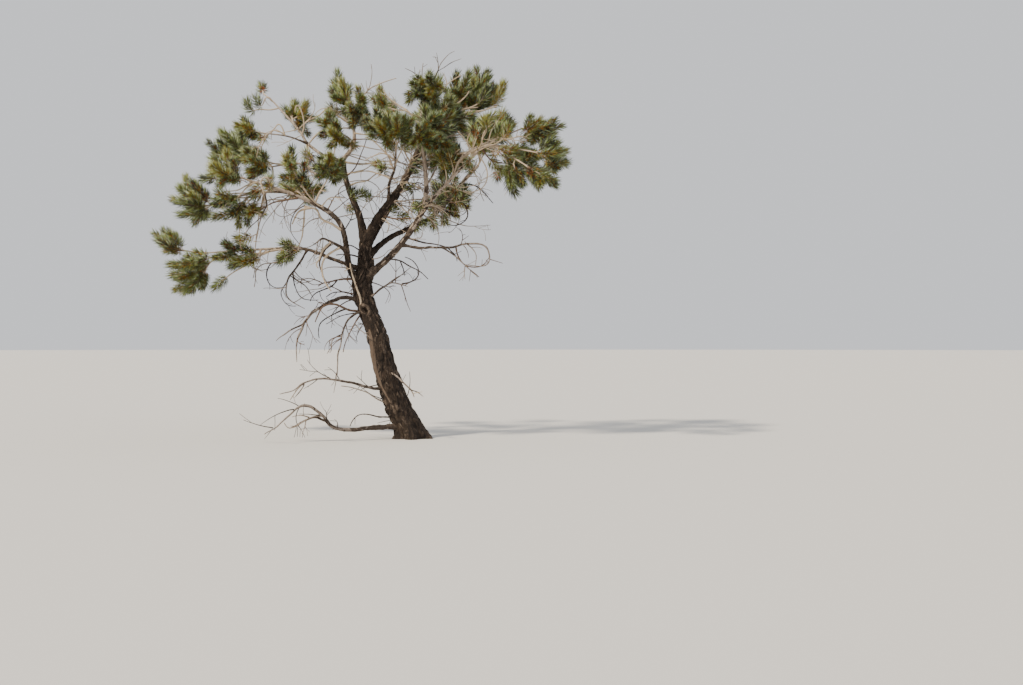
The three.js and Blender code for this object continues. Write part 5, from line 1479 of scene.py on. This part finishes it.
def patterned(name, colours, scale, stretch, rough, bump):
    """Bark or wood: a broad and a fine noise mix its colours, and raise and roughen it."""
    material, tree, shader = material_of(name)
    shader.inputs["Specular IOR Level"].default_value = BARK_SHINE

    def node(kind, **settings):
        """A new node. Each setting is an input's source, an input's value or a property."""
        made = tree.nodes.new(kind)
        for key, value in settings.items():
            if isinstance(value, bpy.types.NodeSocket):
                tree.links.new(value, made.inputs[key])
            elif key in made.inputs:
                made.inputs[key].default_value = value
            else:
                setattr(made, key, value)
        return made

    where = node("ShaderNodeTexCoord").outputs["Object"]
    mapped = node("ShaderNodeMapping", Vector=where, Scale=(scale, scale, scale / stretch))
    place = mapped.outputs["Vector"]
    broad = node("ShaderNodeTexNoise", Vector=place, Scale=1.0, Detail=6.0, Roughness=0.62)
    fine = node("ShaderNodeTexNoise", Vector=place, Scale=6.5, Detail=5.0, Roughness=0.7)
    cells = node("ShaderNodeTexVoronoi", Vector=place, Scale=2.2)
    broad, fine, cells = broad.outputs["Fac"], fine.outputs["Fac"], cells.outputs["Distance"]
    blend = node("ShaderNodeMix", data_type="FLOAT", Factor=0.45, A=broad, B=fine)
    ramp = node("ShaderNodeValToRGB", Fac=blend.outputs["Result"])
    steps = ramp.color_ramp.elements
    while len(steps) < len(colours):
        steps.new(0.5)
    for step, position, colour in zip(steps, np.linspace(*COLOUR_SPREAD, len(colours)), colours):
        step.position = position
        step.color = linear(colour)
    even = node("ShaderNodeMapRange", Value=fine)
    for limit, value in zip(("To Min", "To Max"), rough):
        even.inputs[limit].default_value = value
    height = node("ShaderNodeMath", operation="ADD")
    for source, entry in zip((fine, cells), height.inputs):
        tree.links.new(source, entry)
    raised = node("ShaderNodeBump", Strength=bump[0], Distance=bump[1],
                  Height=height.outputs["Value"])
    tree.links.new(ramp.outputs["Color"], shader.inputs["Base Color"])
    tree.links.new(even.outputs["Result"], shader.inputs["Roughness"])
    tree.links.new(raised.outputs["Normal"], shader.inputs["Normal"])
    return material


# Pieces

def triangles_in(skins):
    return sum(len(triangles) for _, triangles, _ in skins)


def piece(name, skins, materials, replaced):
    """One object from many skins. It rides on the tree and stands for the solids it names."""
    offsets = np.cumsum([0] + [len(points) for points, _, _ in skins])
    points = np.concatenate([points for points, _, _ in skins]) * MM
    triangles = np.concatenate([faces + start for (_, faces, _), start in zip(skins, offsets)])
    tones = np.concatenate([tones for _, _, tones in skins])
    mesh = bpy.data.meshes.new(name)
    mesh.vertices.add(len(points))
    mesh.vertices.foreach_set("co", points.astype(np.float32).ravel())
    mesh.loops.add(triangles.size)
    mesh.loops.foreach_set("vertex_index", triangles.astype(np.int32).ravel())
    mesh.polygons.add(len(triangles))
    mesh.polygons.foreach_set("loop_start", np.arange(0, triangles.size, 3, dtype=np.int32))
    mesh.polygons.foreach_set("material_index", tones.astype(np.int32))
    mesh.polygons.foreach_set("use_smooth", np.full(len(triangles), True))
    for material in materials:
        mesh.materials.append(material)
    mesh.update(calc_edges=True)
    mesh.validate()
    made = bpy.data.objects.new(name, mesh)
    bpy.context.scene.collection.objects.link(made)
    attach(made, "root")
    if replaced:
        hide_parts(*replaced)
    print(name, len(triangles), "triangles")


# The limits that fine twigs keep to
low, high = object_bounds()
reach_low = np.array(low) / MM + REACH_CLEAR
reach_high = np.array(high) / MM - REACH_CLEAR
reach_low[2] = FLOOR_CLEAR

# The limbs grow first, then every mass's stem, its shoots and its finer twigs
taken.add_course("trunk", trunk_course, trunk_girth)
for entry in LIMBS + DEAD_LIMBS:
    add_limb(entry)

stems = {}
for name, on, at, middle, half, count, seed in MASSES:
    stem, thick = stem_of(limbs[on], at, middle, half, seed)
    spray = stem_spray(stem)
    stems[name] = (stem, thick, spray)
    taken.add_course(name, stem, taper(thick, TWIG))
    taken.add_shoot(name, spray)

shoots = {}
for name, on, at, middle, half, count, seed in MASSES:
    stem, _, spray = stems[name]
    shoots[name] = [spray, *shoots_of(name, stem, middle, half, count, seed)]

side_shoots = {}
for name, on, at, middle, half, count, seed in MASSES:
    side_shoots[name] = side_shoots_of(name, stems[name][0], shoots[name], middle, half, seed)

bark = [patterned(name, **BARK_MATERIALS[name]) for name in BARK_TONES]
dead = [patterned(name, **look) for name, look in DEAD_MATERIALS.items()]
needle_materials = [plain(name, colour, *NEEDLE_LOOK) for name, colour in NEEDLE_COLOURS.items()]
twig_materials = [plain(name, colour, *TWIG_LOOK) for name, colour in TWIG_COLOURS.items()]

piece("trunk_bark", [trunk_skin(), strip_skin(), knot_skin()], bark, ["trunk"])
limb_skins = [limb_skin(limbs[entry["name"]], entry["pale"], LIMB_SEEDS + 9 * i)
              for i, entry in enumerate(LIMBS)]
piece("bough_bark", limb_skins, bark, [entry["name"] for entry in LIMBS])

dead_skins = []
for i, entry in enumerate(DEAD_LIMBS):
    limb = limbs[entry["name"]]
    seed = DEAD_SEEDS + 20 * i
    dead_skins.append(dead_skin(limb["course"], limb["girth_at"], seed))
    for k, (course, girth_at) in enumerate(limb["forks"]):
        dead_skins.append(dead_skin(course, girth_at, seed + 10 + k))
piece("dead_wood", dead_skins, dead, [entry["name"] for entry in DEAD_LIMBS])

bare_skins = []
tufts = []
for seed, entry in enumerate(BARE_TWIGS, TWIG_SEEDS):
    skins, ends = bare_twigs_on(entry, seed)
    bare_skins += skins
    tufts += ends
random = np.random.default_rng(CURL_SEEDS)
skins, ends = all_curls(random)
piece("bare_twigs", bare_skins + skins, twig_materials, [])
tuft_skins = [needles_on(course, 0, TUFT_SIZE, random) for course in tufts + ends]
piece("tufts", tuft_skins, needle_materials, [])

# Shoots, and their needles in pieces of a limited size
shoot_pieces = []
groups = [dict(names=[], skins=[])]
random = np.random.default_rng(SHOOT_SEED)
for name, (stem, thick, _) in stems.items():
    shoot_pieces.append(stem_skin(stem, thick, random))
    skins = []
    for size, root, twigs in ((1, TWIG, shoots[name]), (SIDE_SIZE, SIDE_TWIG, side_shoots[name])):
        for shoot in twigs:
            course, begins = shoot_line(shoot)
            shoot_pieces += shoot_skins(course, begins, root, random)
            skins.append(needles_on(course, begins, size, random))
    if triangles_in(groups[-1]["skins"] + skins) > MOST_TRIANGLES:
        groups.append(dict(names=[], skins=[]))
    groups[-1]["names"].append(name)
    groups[-1]["skins"] += skins
piece("shoots", shoot_pieces, twig_materials, [])
for number, group in enumerate(groups, 1):
    piece(f"needles_{number}", group["skins"], needle_materials, group["names"])


# Studio

def placed(name, data):
    """A new object in the scene for a camera's or a lamp's data."""
    made = bpy.data.objects.new(name, data)
    bpy.context.scene.collection.objects.link(made)
    return made


def sun(name, towards, strength, softness, colour):
    """A lamp at no set place, whose light comes from one side. Softness is in degrees."""
    data = bpy.data.lights.new(name, "SUN")
    data.energy = strength
    data.angle = math.radians(softness)
    data.color = linear(colour)[:3]
    x, y, z = towards
    lamp = placed(name, data)
    lamp.rotation_euler = (math.atan2(math.hypot(x, y), z), 0, math.atan2(x, -y))


camera = placed("camera", bpy.data.cameras.new("camera"))
camera.data.lens = LENS
camera.data.sensor_width = SENSOR
camera.location = EYE * MM
camera.rotation_euler = (math.radians(90), 0, 0)
bpy.context.scene.camera = camera

bpy.ops.mesh.primitive_circle_add(vertices=FLOOR_SIDES, radius=FLOOR_RADIUS, fill_type="NGON")
floor = bpy.context.object
floor.name = "floor"
floor.data.materials.append(plain("floor", FLOOR_COLOUR, *FLOOR_LOOK))

world = bpy.data.worlds.new("studio")
world.use_nodes = True
backdrop = world.node_tree.nodes["Background"]
backdrop.inputs["Color"].default_value = linear(WORLD_COLOUR)
backdrop.inputs["Strength"].default_value = 1.0
bpy.context.scene.world = world

sun("key", (-0.75, -0.6, 0.95), 5.6, 5, "#fff1da")
sun("fill", (0.8, -0.7, 0.5), 0.35, 40, "#eef3ff")
